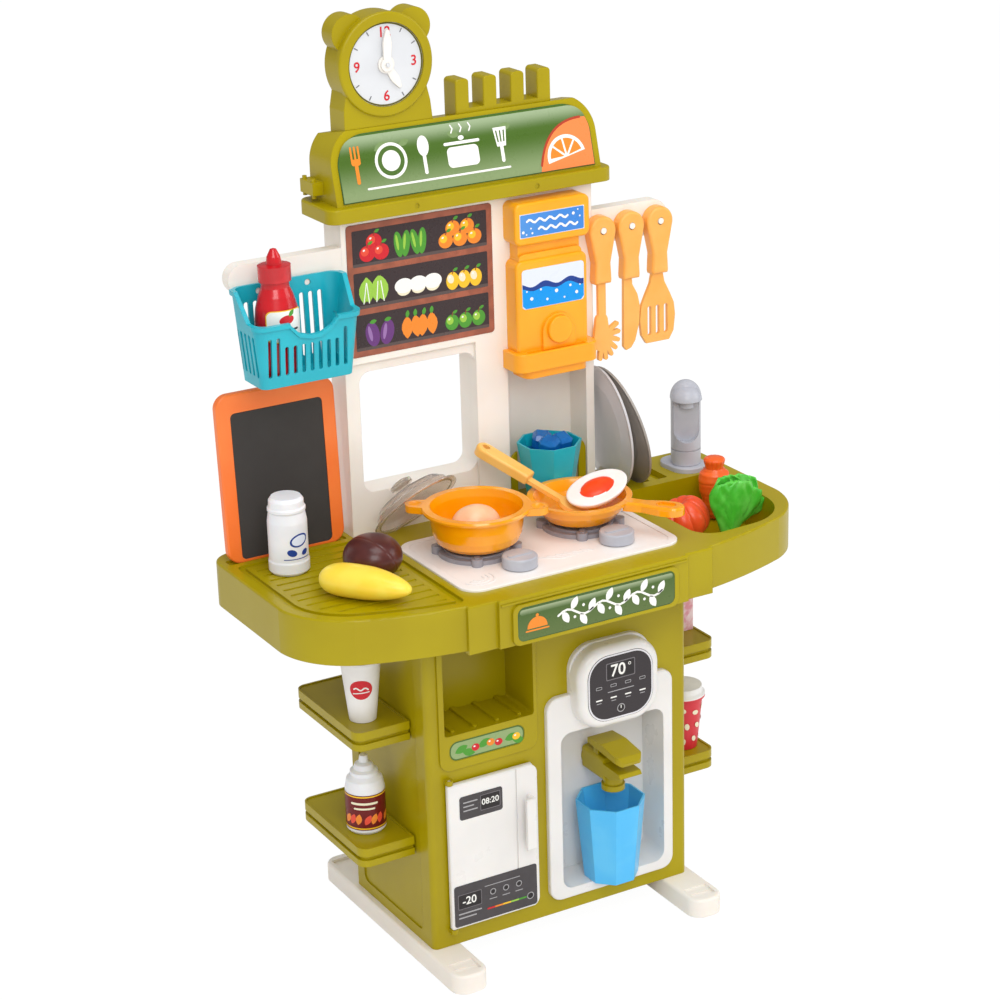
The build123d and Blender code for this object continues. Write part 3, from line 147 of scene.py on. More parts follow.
# ---- Finishes ------------------------------------------------------------------------------------
@dataclass(frozen=True)
class Moulded:
    """Injection-moulded plastic.

    Attributes:
        name: the finish's name.
        colour: the colour of the pigment in the light.
        deep: the colour where the wall is thicker or the melt flowed slower.
        roughness: how far the mould was polished.
        flow_mm: width of the cloudy colour changes left by the flowing melt.
        grain_mm: width of the mould's fine texture, drawn coarser than it is so that it shows.
        relief_mm: depth of that texture.
        coat: gloss of the skin over the pigment.
        depth_mm: how far light travels inside the wall.
        clear: share of light that passes through.
        ior: refraction of the plastic.
        edge_mm: how far the mould rounds its sharp edges.
        foot: another colour below a height, if the piece has two.
        foot_span: heights in metres between which the foot's colour ends.
    """

    name: str
    colour: str
    deep: str
    roughness: float = 0.34
    flow_mm: float = 60.0
    grain_mm: float = 1.4
    relief_mm: float = 0.03
    coat: float = 0.15
    depth_mm: float = 0.0
    clear: float = 0.0
    ior: float = 1.5
    edge_mm: float = 0.9
    foot: str = ""
    foot_span: tuple[float, float] = (0.0, 1.0)

    def pigment(self, tree: Tree) -> Socket:
        """Gives the surface's colour, clouded as the melt flowed.

        Args:
            tree: the material's tree.

        Returns:
            The colour.
        """
        cloud = add(tree, "TexNoise", {"Scale": 1 / self.flow_mm, "Detail": 3.0, "Roughness": 0.5},
                    {"Vector": place(tree)})
        colour = mix(tree, ramp(tree, cloud.outputs["Fac"], 0.36, 0.66), self.deep, self.colour)
        if self.foot:
            where = add(tree, "SeparateXYZ", {}, {0: add(tree, "TexCoord").outputs["Object"]})
            colour = mix(tree, ramp(tree, where.outputs[2], *self.foot_span), self.foot, colour)
        return colour

    def material(self) -> Material:
        """Builds the finish once and returns it after that.

        Returns:
            The finish's material.
        """
        made = bpy.data.materials.get(self.name)
        if made:
            return made
        made = blank(self.name)
        tree = made.node_tree
        grain = add(tree, "TexNoise", {"Scale": 1 / self.grain_mm, "Detail": 2.0}, {"Vector": place(tree)})
        rounded_edge = add(tree, "Bevel", {"samples": 2, "Radius": self.edge_mm * MM})
        bump = add(tree, "Bump", {"Strength": 1.0, "Distance": self.relief_mm * MM},
                   {"Height": grain.outputs["Fac"], "Normal": rounded_edge.outputs[0]})
        wear = add(tree, "TexNoise", {"Scale": 1 / 25.0, "Detail": 4.0}, {"Vector": place(tree)})
        rough = add(tree, "MapRange", {"To Min": self.roughness * 0.85, "To Max": self.roughness * 1.2},
                    {"Value": wear.outputs["Fac"]})
        settings = {"Coat Weight": self.coat, "Coat Roughness": 0.12, "IOR": self.ior,
                    "Transmission Weight": self.clear}
        if self.depth_mm:
            settings |= {"Subsurface Weight": 0.25, "Subsurface Radius": (1.0, 0.7, 0.5),
                         "Subsurface Scale": self.depth_mm * MM}
        links = {"Base Color": self.pigment(tree), "Roughness": rough.outputs[0], "Normal": bump.outputs[0]}
        shader = add(tree, "BsdfPrincipled", settings, links)
        add(tree, "OutputMaterial", {}, {"Surface": shader.outputs[0]})
        return made


# ABS from a polished mould, coloured through: a glossy skin with bright edges.
OLIVE_ABS = Moulded("olive_abs", "#ac9b00", "#a59300", 0.3, 120.0, coat=0.05, ior=1.36)
# Cream ABS with a satin skin; thin walls glow a little.
CREAM_ABS = Moulded("cream_abs", "#f6efe6", "#f0e8df", 0.4, 90.0, depth_mm=0.6)
# Bright white ABS, as on a household appliance.
WHITE_ABS = Moulded("white_abs", "#ebe8e5", "#e6e3e0", 0.28, 70.0, coat=0.3, depth_mm=0.5)
# Cool white dial that sets off the figures, and warmer, brighter hands.
DIAL_ABS = Moulded("dial_abs", "#dbdde1", "#d6d8dc", 0.3, 50.0)
HAND_ABS = Moulded("clock_hand_abs", "#f4f0ea", "#ece7e0", 0.32, 20.0)
# Polypropylene hob, pale pink, satin.
BLUSH_PP = Moulded("blush_polypropylene", "#f7e4d5", "#f5e0d0", 0.4, 50.0)
# Grey PP of knobs, grates and the faucet: cool and slightly blue.
GREY_PP = Moulded("cool_grey_polypropylene", "#bcbec6", "#b2b4be", 0.36, 30.0, coat=0.2)
GRATE_PP = Moulded("grate_polypropylene", "#a09da4", "#95929a", 0.38, 20.0)
# Amber PP of the fountain and utensils: the light goes in, so edges look warm.
AMBER_PP = Moulded("amber_polypropylene", "#ffb014", "#ffa80a", 0.32, 60.0, depth_mm=1.2)
UTENSIL_PP = Moulded("apricot_polypropylene", "#f8b65a", "#f6ae4c", 0.34, 40.0, depth_mm=1.2)
SPOON_PP = Moulded("spoon_polypropylene", "#fdc870", "#fcbf5c", 0.3, 40.0, depth_mm=1.2)
# Deep orange PP from a mirror-polished mould.
PAN_PP = Moulded("orange_polypropylene", "#ffaa08", "#ffa200", 0.16, 40.0, coat=0.6, depth_mm=1.0)
# Teal and sky-blue PP of basket and cups: bright and satin, with a little light in thin walls.
TEAL_PP = Moulded("teal_polypropylene", "#12b6c8", "#0eaec0", 0.3, 40.0, depth_mm=0.5)
SKY_PP = Moulded("sky_polypropylene", "#5cc4f6", "#4cbcf4", 0.32, 40.0, depth_mm=0.8)
# Dense satin PP of the blackboard's frame and of the two plates.
RUST_PP = Moulded("rust_orange_polypropylene", "#ff8135", "#fc782c", 0.36, 60.0)
PLATE_GREY_PP = Moulded("mid_grey_polypropylene", "#d2d0d1", "#cac8ca", 0.36, 40.0)
PLATE_TAUPE_PP = Moulded("taupe_polypropylene", "#a8a19a", "#9f9891", 0.36, 40.0)
# Blow-moulded polyethylene bottles: a waxy shine over a wall that takes some light in.
RED_PE = Moulded("red_polyethylene", "#d01420", "#be0e1a", 0.24, 20.0, coat=0.4, depth_mm=0.6)
MILK_PE = Moulded("milky_polyethylene", "#efeef1", "#e8e9ed", 0.35, 25.0, depth_mm=1.0)
# Clear polystyrene from a polished mould: a smoky lid and glassy blue ice.
CLEAR_PS = Moulded("smoky_clear_polystyrene", "#f1e8e0", "#ebe1d8", 0.06, 30.0, clear=0.84, ior=1.24,
                   edge_mm=0.0)
ICE_PS = Moulded("blue_clear_polystyrene", "#1f86d8", "#1273c8", 0.08, 12.0, clear=0.35)
# Soft vinyl food, cast in hollow moulds: rounded lights and soft shadows, as light goes into the wall.
BROWN_PVC = Moulded("brown_vinyl", "#5c2a26", "#50221f", 0.3, 14.0, coat=0.1, depth_mm=0.8, edge_mm=0.0)
YELLOW_PVC = Moulded("yellow_vinyl", "#fee04e", "#fed83c", 0.36, 25.0, depth_mm=1.2, edge_mm=0.0)
ORANGE_PVC = Moulded("orange_vinyl", "#ff7024", "#fc641a", 0.32, 18.0, depth_mm=1.0, edge_mm=0.0)
TOMATO_PVC = Moulded("tomato_vinyl", "#fa5f2f", "#f45224", 0.32, 15.0, depth_mm=1.0, edge_mm=0.0)
LEAF_PVC = Moulded("leaf_green_vinyl", "#6ad650", "#4cc636", 0.32, 14.0, depth_mm=1.0, edge_mm=0.0)
PEACH_PVC = Moulded("peach_vinyl", "#fbc9a0", "#f7bd90", 0.38, 15.0, depth_mm=1.5, edge_mm=0.0)
EGG_PVC = Moulded("egg_white_vinyl", "#f8f5f2", "#f3eeea", 0.3, 15.0, coat=0.3, depth_mm=1.5, edge_mm=0.0)
YOLK_PVC = Moulded("egg_yolk_vinyl", "#fb4a14", "#f53f0c", 0.3, 15.0, coat=0.1, depth_mm=1.0, edge_mm=0.0)
# Coated cup card and printed board: matt, with a weak sheen.
CUP_CARD = Moulded("cup_card", "#f6f4f2", "#f0edea", 0.55, 25.0, coat=0.0)
CUP_RED = Moulded("red_cup_card", "#d42433", "#c81c2a", 0.4, 25.0, coat=0.1)
PINK_CARD = Moulded("pink_card", "#f7dde2", "#e698a8", 0.5, 7.0, coat=0.2)
# Matt slate film with a fine chalk-holding grain.
SLATE_FILM = Moulded("charcoal_slate_film", "#3e3a38", "#3b3735", 0.8, 160.0, grain_mm=0.6, coat=0.0,
                     relief_mm=0.08)
# Printed films laid into the mouldings: flat and glossy, so they mirror the lamps.
SCREEN_FILM = Moulded("dark_display_film", "#403b3e", "#3a3538", 0.25, 30.0)
SIGN_FILM = Moulded("green_printed_film", "#3f6a34", "#35592c", 0.26, 30.0, coat=0.4)
BOARD_FILM = Moulded("brown_printed_film", "#a5573a", "#914a30", 0.28, 12.0, coat=0.3)
BLUE_FILM = Moulded("blue_printed_film", "#eef1fa", "#e4e9f6", 0.26, 30.0, coat=0.3)


def extent(node: str) -> tuple[Vector, Vector]:
    """Gives the lowest and the highest corner of a CAD node, in metres."""
    low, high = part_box(node)
    return Vector(low), Vector(high)


def paint(node: str, finish: Moulded) -> None:
    """Gives every face of a carried-over CAD node one finish.

    Args:
        node: the CAD node.
        finish: its finish.
    """
    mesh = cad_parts[node].data
    mesh.materials.clear()
    mesh.materials.append(finish.material())
    log.info("%s: %s", node, finish.name)


# ---- Printed films ----------------------------------------------------------------------------------
# Heights of the ink over its base, in millimetres: under the first layer, for each layer, for each shape.
INK_GAP, INK_LAYER, INK_STEP = 0.04, 0.05, 0.003
# After this many shapes their heights start again.
INK_CYCLE = 16
# A label that bends round a bottle is cut until no edge is longer than this, in so many rounds at most.
BEND_EDGE, BEND_ROUNDS = 1.8, 10
# A figure's height as a share of the font's size, and its bold edge as a share of that height.
FIGURE_SHARE, BOLDER = 0.7, 0.022


class Blend(Enum):
    """The axis along which an ink changes colour."""

    ACROSS = 0
    UPWARDS = 2


@dataclass(frozen=True)
class Ink:
    """Screen-printed ink under a clear laminate.

    Attributes:
        name: the ink's name.
        colour: its colour, or the colour at the low end of a blend.
        other: the colour at the high end, if the ink blends.
        span: height or place in metres where the blend starts and ends.
        blend: the way in which it blends.
        roughness: gloss of the laminate.
    """

    name: str
    colour: str
    other: str = ""
    span: tuple[float, float] = (0.0, 1.0)
    blend: Blend = Blend.ACROSS
    roughness: float = 0.28

    def material(self) -> Material:
        """Builds the ink once and returns it after that.

        Returns:
            The ink's material.
        """
        made = bpy.data.materials.get(self.name)
        if made:
            return made
        made = blank(self.name)
        tree = made.node_tree
        film = add(tree, "TexNoise", {"Scale": 1 / 9.0, "Detail": 3.0}, {"Vector": place(tree)})
        # The print's dots are a tenth of this width; drawn so coarse, they show as a slight unevenness.
        dots = add(tree, "TexNoise", {"Scale": 1 / 0.7, "Detail": 1.0}, {"Vector": place(tree)})
        base: Socket | str = self.colour
        if self.other:
            where = add(tree, "SeparateXYZ", {}, {0: add(tree, "TexCoord").outputs["Object"]})
            base = mix(tree, ramp(tree, where.outputs[self.blend.value], *self.span), self.colour, self.other)
        speck = add(tree, "MapRange", {"From Min": 0.35, "From Max": 0.7, "To Min": 0.0, "To Max": 0.04},
                    {"Value": dots.outputs["Fac"]})
        colour = mix(tree, speck.outputs[0], base, "#8a8580")
        rough = add(tree, "MapRange", {"To Min": self.roughness * 0.8, "To Max": self.roughness * 1.25},
                    {"Value": film.outputs["Fac"]})
        bump = add(tree, "Bump", {"Strength": 1.0, "Distance": 0.02 * MM}, {"Height": film.outputs["Fac"]})
        shader = add(tree, "BsdfPrincipled", {"IOR": 1.34},
                     {"Base Color": colour, "Roughness": rough.outputs[0], "Normal": bump.outputs[0]})
        add(tree, "OutputMaterial", {}, {"Surface": shader.outputs[0]})
        return made


# Inks lie under a clear laminate, which gives them a soft gloss.
WHITE_INK = Ink("white_ink", "#f4f3ee")
BLACK_INK = Ink("black_ink", "#2a2628")
GREY_INK = Ink("grey_ink", "#a8a6a8")
RED_INK = Ink("red_ink", "#d2232e")
ORANGE_INK = Ink("orange_ink", "#f08a2c")
YELLOW_INK = Ink("yellow_ink", "#f7c22c")
GREEN_INK = Ink("green_ink", "#4f9a34")
DARK_GREEN_INK = Ink("dark_green_ink", "#4f6f30")
PURPLE_INK = Ink("purple_ink", "#6a3a7c")
NAVY_INK = Ink("navy_ink", "#1c3f8f")
SKY_INK = Ink("sky_ink", "#0096eb")
PALE_BLUE_INK = Ink("pale_blue_ink", "#dfe6f6")
BROWN_INK = Ink("brown_ink", "#8a4a30")
SHELF_INK = Ink("shelf_ink", "#3b2f31")
LIME_INK = Ink("lime_ink", "#9ccb4a")
CREAM_INK = Ink("cream_ink", "#efe6c8")
TOMATO_INK = Ink("tomato_ink", "#e8503a")
LILAC_INK = Ink("lilac_ink", "#9a72ad")
DARK_RED_INK = Ink("dark_red_ink", "#6e1214")
DARK_OLIVE_INK = Ink("dark_olive_ink", "#5f5a12")
SHELF_SHADE = Ink("shelf_shade_ink", "#5a4d4b")
PALE_RING_INK = Ink("pale_ring_ink", "#e2e0e4")
OUTLINE_INK = Ink("outline_ink", "#757074")
TICK_INK = Ink("tick_ink", "#77777c")
DISPLAY_FIELD = Ink("display_field_ink", "#383336", roughness=0.2)
LABEL_FIELD = Ink("label_field_ink", "#5f9fe0", "#3f86d8", (-0.02, 0.1))
ROOF_LEAF = Ink("roof_leaf_ink", "#7c9560")
ROOF_FIELD = Ink("roof_field_ink", "#8b9f70", "#496a22", blend=Blend.UPWARDS)
# A painted highlight: the roof sign's top band fades from green to pale, like light on its glossy curved
# edge.
ROOF_PAINTED_HIGHLIGHT = Ink("roof_painted_highlight_ink", "#4a6b24", "#9db08a", blend=Blend.UPWARDS)
PEEL_INK = Ink("peel_ink", "#f5894a")
RIND_INK = Ink("rind_ink", "#b5402a")
FRONT_FIELD = Ink("front_field_ink", "#5b6f3c", "#48632c", blend=Blend.UPWARDS)
# A painted highlight: the front sign's top band fades from green to pale, like light on its glossy edge.
FRONT_PAINTED_HIGHLIGHT = Ink("front_painted_highlight_ink", "#4a652e", "#a9b692", blend=Blend.UPWARDS)
LABEL_GREEN = Ink("label_green_ink", "#94ab74")


def solids(form: bmesh.types.BMesh) -> list[list[bmesh.types.BMVert]]:
    """Parts a form's points into its separate solids, the highest one first.

    Args:
        form: the form.

    Returns:
        The points of each solid.
    """
    parts, left = [], set(form.verts)
    while left:
        queue, part = [left.pop()], []
        while queue:
            vert = queue.pop()
            part.append(vert)
            near = {edge.other_vert(vert) for edge in vert.link_edges} & left
            left -= near
            queue.extend(near)
        parts.append(part)
    return sorted(parts, key=lambda verts: -max(vert.co.z for vert in verts))


@dataclass
class Sheet:
    """A flat face to print on.

    Attributes:
        middle: the face's middle.
        across: direction to its right.
        up: direction to its top.
        out: direction away from it.
        half: its half width and half height, in millimetres.
    """

    middle: Vector
    across: Vector
    up: Vector
    out: Vector
    half: tuple[float, float]

    def point(self, u: float, v: float, lift: float) -> Vector:
        """Gives the place of a point of the print, in metres."""
        return self.middle + (self.across * u + self.up * v + self.out * lift) * MM

    @classmethod
    def on(cls, node: str, rank: int = 0) -> "Sheet":
        """Finds the flat front of one solid of a CAD node.

        Args:
            node: the CAD node.
            rank: which of its solids, counted from the top.

        Returns:
            The face that looks most to the front, as a sheet.
        """
        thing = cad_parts[node]
        form = bmesh.new()
        form.from_mesh(thing.data)
        form.transform(thing.matrix_world)
        bmesh.ops.remove_doubles(form, verts=form.verts, dist=0.000002)
        form.normal_update()
        areas: dict[tuple, list] = {}
        for face in {face for vert in solids(form)[rank] for face in vert.link_faces}:
            if face.normal.y < -0.3:
                key = (*(round(c, 2) for c in face.normal), round(face.normal.dot(face.verts[0].co), 4))
                areas.setdefault(key, []).append(face)
        flats = max(areas.values(), key=lambda faces: sum(face.calc_area() for face in faces))
        out = sum((face.normal * face.calc_area() for face in flats), Vector()).normalized()
        across = Vector((0, 0, 1)).cross(out).normalized()
        up = out.cross(across)
        level = flats[0].verts[0].co.dot(out)
        flat = [vert.co.copy() for face in flats for vert in face.verts]
        form.free()
        sides = [(min(p.dot(d) for p in flat), max(p.dot(d) for p in flat)) for d in (across, up)]
        middle = across * sum(sides[0]) / 2 + up * sum(sides[1]) / 2 + out * level
        return cls(middle, across, up, out, tuple((high - low) / 2 / MM for low, high in sides))


@dataclass
class Wrap:
    """A label round a bottle or cup, which may taper and be oval.

    Attributes:
        node: the CAD node it lies on.
        rise: height of the label's middle over the node's foot, in millimetres.
        radius: radius at the label's middle.
        slope: how much the radius grows for each millimetre upwards.
        facing: direction of the label's middle, in degrees round from the front.
        oval: how much wider than deep the bottle is.
        gap: how far the paper stands off the bottle's facets, in millimetres.
    """

    node: str
    rise: float
    radius: float
    slope: float = 0.0
    facing: float = -20.0
    oval: float = 1.0
    gap: float = 0.12

    def __post_init__(self) -> None:
        """Finds the middle of the node's foot."""
        low, high = extent(self.node)
        self.foot = (low + high) / 2
        self.foot.z = low.z

    def point(self, u: float, v: float, lift: float) -> Vector:
        """Gives the place of a point of the print.

        Args:
            u: distance to the right of the label's middle, in millimetres.
            v: distance above it.
            lift: height of the ink over the label's foot.

        Returns:
            The point, in metres.
        """
        angle = radians(self.facing - 90) + u / self.radius
        reach = (self.radius + self.slope * v + lift + self.gap) * MM
        return Vector((self.foot.x + reach * self.oval * cos(angle), self.foot.y + reach * sin(angle),
                       self.foot.z + (self.rise + v) * MM))


def arc(u: float, v: float, radius: float, start: float, end: float, steps: int = 24) -> list[Point]:
    """Gives points along an arc, with angles in degrees."""
    return [(u + radius * cos(radians(start + (end - start) * i / steps)),
             v + radius * sin(radians(start + (end - start) * i / steps))) for i in range(steps + 1)]


def rounded(u0: float, u1: float, v0: float, v1: float, radius: float) -> list[Point]:
    """Gives the outline of a rounded rectangle."""
    corners = ((u1 - radius, v1 - radius, 0), (u0 + radius, v1 - radius, 90), (u0 + radius, v0 + radius, 180),
               (u1 - radius, v0 + radius, 270))
    return [point for u, v, start in corners for point in arc(u, v, radius, start, start + 90, 8)]


def oval(u: float, v: float, wide: float, high: float, tilt: float = 0.0) -> list[Point]:
    """Gives the outline of an oval, turned by tilt degrees.

    Args:
        u: its middle, from left to right.
        v: its middle, upwards.
        wide: half its width.
        high: half its height.
        tilt: how far it is turned, in degrees.

    Returns:
        Its points, in millimetres.
    """
    turned = []
    for step in range(32):
        x, y = wide * cos(step * pi / 16), high * sin(step * pi / 16)
        turned.append((u + x * cos(radians(tilt)) - y * sin(radians(tilt)),
                       v + x * sin(radians(tilt)) + y * cos(radians(tilt))))
    return turned


@dataclass
class Print:
    """One printed film or label: flat shapes of ink in layers on a sheet or round a bottle.

    Attributes:
        name: the piece's name.
        base: what it is printed on.
        body: the moving body that carries it.
        slot: not used.
    """

    name: str
    base: Sheet | Wrap
    body: str = "kitchen"
    slot: str = "printed_film"

    def __post_init__(self) -> None:
        """Starts an empty film."""
        self.form = bmesh.new()
        self.inks: list[Ink] = []
        self.count = 0

    def shape(self, outline: Sequence[Point], ink: Ink, layer: int = 1) -> None:
        """Prints one filled shape.

        Args:
            outline: its corners in millimetres from the film's middle.
            ink: the ink.
            layer: how many layers of ink it lies on.
        """
        if ink not in self.inks:
            self.inks.append(ink)
        self.count += 1
        lift = INK_GAP + INK_LAYER * layer + INK_STEP * (self.count % INK_CYCLE)
        verts = [self.form.verts.new((u, v, lift)) for u, v in outline]
        face = self.form.faces.new(verts)
        face.normal_update()
        if face.normal.z < 0:
            face.normal_flip()
        face.material_index = self.inks.index(ink)

    def stroke(self, line: Sequence[Point], width: float, ink: Ink, layer: int = 2) -> None:
        """Prints a line of even width with round ends.

        Args:
            line: the points that it joins.
            width: its width.
            ink: the ink.
            layer: how many layers of ink it lies on.
        """
        for (u0, v0), (u1, v1) in zip(line, line[1:]):
            long = max(((u1 - u0) ** 2 + (v1 - v0) ** 2) ** 0.5, 0.001)
            du, dv = -(v1 - v0) / long * width / 2, (u1 - u0) / long * width / 2
            corners = [(u0 + du, v0 + dv), (u0 - du, v0 - dv), (u1 - du, v1 - dv), (u1 + du, v1 + dv)]
            self.shape(corners, ink, layer)
        for u, v in line:
            self.shape(oval(u, v, width / 2, width / 2), ink, layer)

    def figures(self, words: str, u: float, v: float, high: float, ink: Ink, layer: int = 3) -> None:
        """Prints plain figures, centred on a point.

        Args:
            words: the figures.
            u: their middle, from left to right.
            v: their middle, upwards.
            high: their height, in millimetres.
            ink: the ink.
            layer: how many layers of ink they lie on.
        """
        curve = bpy.data.curves.new("figures", "FONT")
        curve.body = words
        curve.align_x, curve.align_y = "CENTER", "CENTER"
        curve.size = high / FIGURE_SHARE
        curve.offset = BOLDER * high
        curve.resolution_u = 4
        holder = bpy.data.objects.new("figures", curve)
        mesh = bpy.data.meshes.new_from_object(holder)
        places = [(u + vertex.co.x, v + vertex.co.y) for vertex in mesh.vertices]
        for polygon in mesh.polygons:
            self.shape([places[i] for i in polygon.vertices], ink, layer)
        bpy.data.objects.remove(holder)
        bpy.data.curves.remove(curve)
        bpy.data.meshes.remove(mesh)

    def build(self) -> Object:
        """Lays the film on its base and returns the piece.

        Returns:
            The new piece.
        """
        if isinstance(self.base, Wrap):
            bmesh.ops.triangulate(self.form, faces=self.form.faces)
            for _ in range(BEND_ROUNDS):
                long = [edge for edge in self.form.edges if edge.calc_length() > BEND_EDGE]
                if not long:
                    break
                bmesh.ops.subdivide_edges(self.form, edges=long, cuts=1)
                bmesh.ops.triangulate(self.form, faces=self.form.faces)
        for vert in self.form.verts:
            vert.co = self.base.point(*vert.co)
        return piece(self.name, self.form, [ink.material() for ink in self.inks], self.body)


def piece(name: str, form: bmesh.types.BMesh, finishes: Sequence[Material], body: str,
          stands_for: Sequence[str] = (), smooth: bool = False) -> Object:
    """Turns a form into a piece of the kitchen.

    Args:
        name: the piece's name.
        form: its shape in metres, which is used up.
        finishes: its materials, in the order of its face numbers.
        body: the moving body that carries it.
        stands_for: CAD nodes that it takes the place of.
        smooth: whether its faces blend into each other.

    Returns:
        The new object.
    """
    mesh = bpy.data.meshes.new(name)
    form.to_mesh(mesh)
    form.free()
    for finish in finishes:
        mesh.materials.append(finish)
    if smooth:
        mesh.polygons.foreach_set("use_smooth", [True] * len(mesh.polygons))
    made = bpy.data.objects.new(name, mesh)
    bpy.context.scene.collection.objects.link(made)
    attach(made, body)
    if stands_for:
        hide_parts(*stands_for)
    log.info("%s: %d faces on %s", name, len(mesh.polygons), body)
    return made


def skin(shape: Callable[[float, float], Vector], rings: int = 40, around: int = 64) -> bmesh.types.BMesh:
    """Makes a closed round form.

    Args:
        shape: gives the point for a share of the way from foot to top and an angle.
        rings: steps from foot to top.
        around: steps round.

    Returns:
        The form, closed by one point at each end.
    """
    form = bmesh.new()
    foot, top = form.verts.new(shape(0.0, 0.0)), form.verts.new(shape(1.0, 0.0))
    rows = [[form.verts.new(shape(ring / rings, 2 * pi * step / around)) for step in range(around)]
            for ring in range(1, rings)]
    for step in range(around):
        after = (step + 1) % around
        form.faces.new((foot, rows[0][after], rows[0][step]))
        form.faces.new((top, rows[-1][step], rows[-1][after]))
        for low, high in zip(rows, rows[1:]):
            form.faces.new((low[step], low[after], high[after], high[step]))
    return form


def hump(distance: float, width: float) -> float:
    """Gives a smooth hump: 1 at no distance, and close to 0 beyond twice the width."""
    return exp(-(distance / width) ** 2)


# ---- Sub-assemblies -------------------------------------------------------------------------------
def arch(half: float, low: float, high: float, radius: float) -> list[Point]:
    """Gives a sign's outline: square at the foot, with large round shoulders."""
    return ([(-half, low), (half, low)] + arc(half - radius, high - radius, radius, 0, 90)
            + arc(-half + radius, high - radius, radius, 90, 180))


def leaf(film: Print, u: float, v: float, long: float, tilt: float, ink: Ink, layer: int = 3) -> None:
    """Prints a pointed leaf that starts at a point and grows in the tilt direction.

    Args:
        film: the film that gets it.
        u: its stalk end, from left to right.
        v: its stalk end, upwards.
        long: its length, in millimetres.
        tilt: the direction in which it grows, in degrees.
        ink: the ink.
        layer: how many layers of ink it lies on.
    """
    wide = long * 0.27
    shares = (0, 0.15, 0.35, 0.55, 0.75, 0.9, 1)
    side = [(long * share, wide * sin(pi * share) ** 0.8 if 0 < share < 1 else 0.0) for share in shares]
    outline = side + [(x, -y) for x, y in reversed(side[1:-1])]
    c, s = cos(radians(tilt)), sin(radians(tilt))
    film.shape([(u + x * c - y * s, v + x * s + y * c) for x, y in outline], ink, layer)


@dataclass
class Housing:
    """The large fixed mouldings: feet, cabinet, worktop, tower and roof.

    Attributes:
        hob_rise: how far the hob's pink field stands over its white rim, in millimetres.
    """

    hob_rise: float = 1.0

    def dress(self) -> None:
        """Paints the housing's nodes."""
        for node in ("cabinet_shell", "cabinet_back", "cabinet_liners", "side_shelves", "countertop", "roof",
                     "knife_rack", "clock_case", "tap_body", "tap_lever"):
            paint(node, OLIVE_ABS)
        for node in ("feet", "tower_front", "tower_rear", "side_arms"):
            paint(node, CREAM_ABS)
        for node, finish in {
                "dispenser_panel": WHITE_ABS, "burner_grates": GRATE_PP, "knob_left": GREY_PP,
                "knob_right": GREY_PP, "faucet_base": GREY_PP, "faucet": GREY_PP}.items():
            paint(node, finish)
        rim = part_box("hob_panel")[1][2] - self.hob_rise * MM
        paint("hob_panel", replace(BLUSH_PP, name="two_tone_blush_polypropylene", foot="#f7f3f0",
                                   foot_span=(rim - 0.2 * MM, rim)))


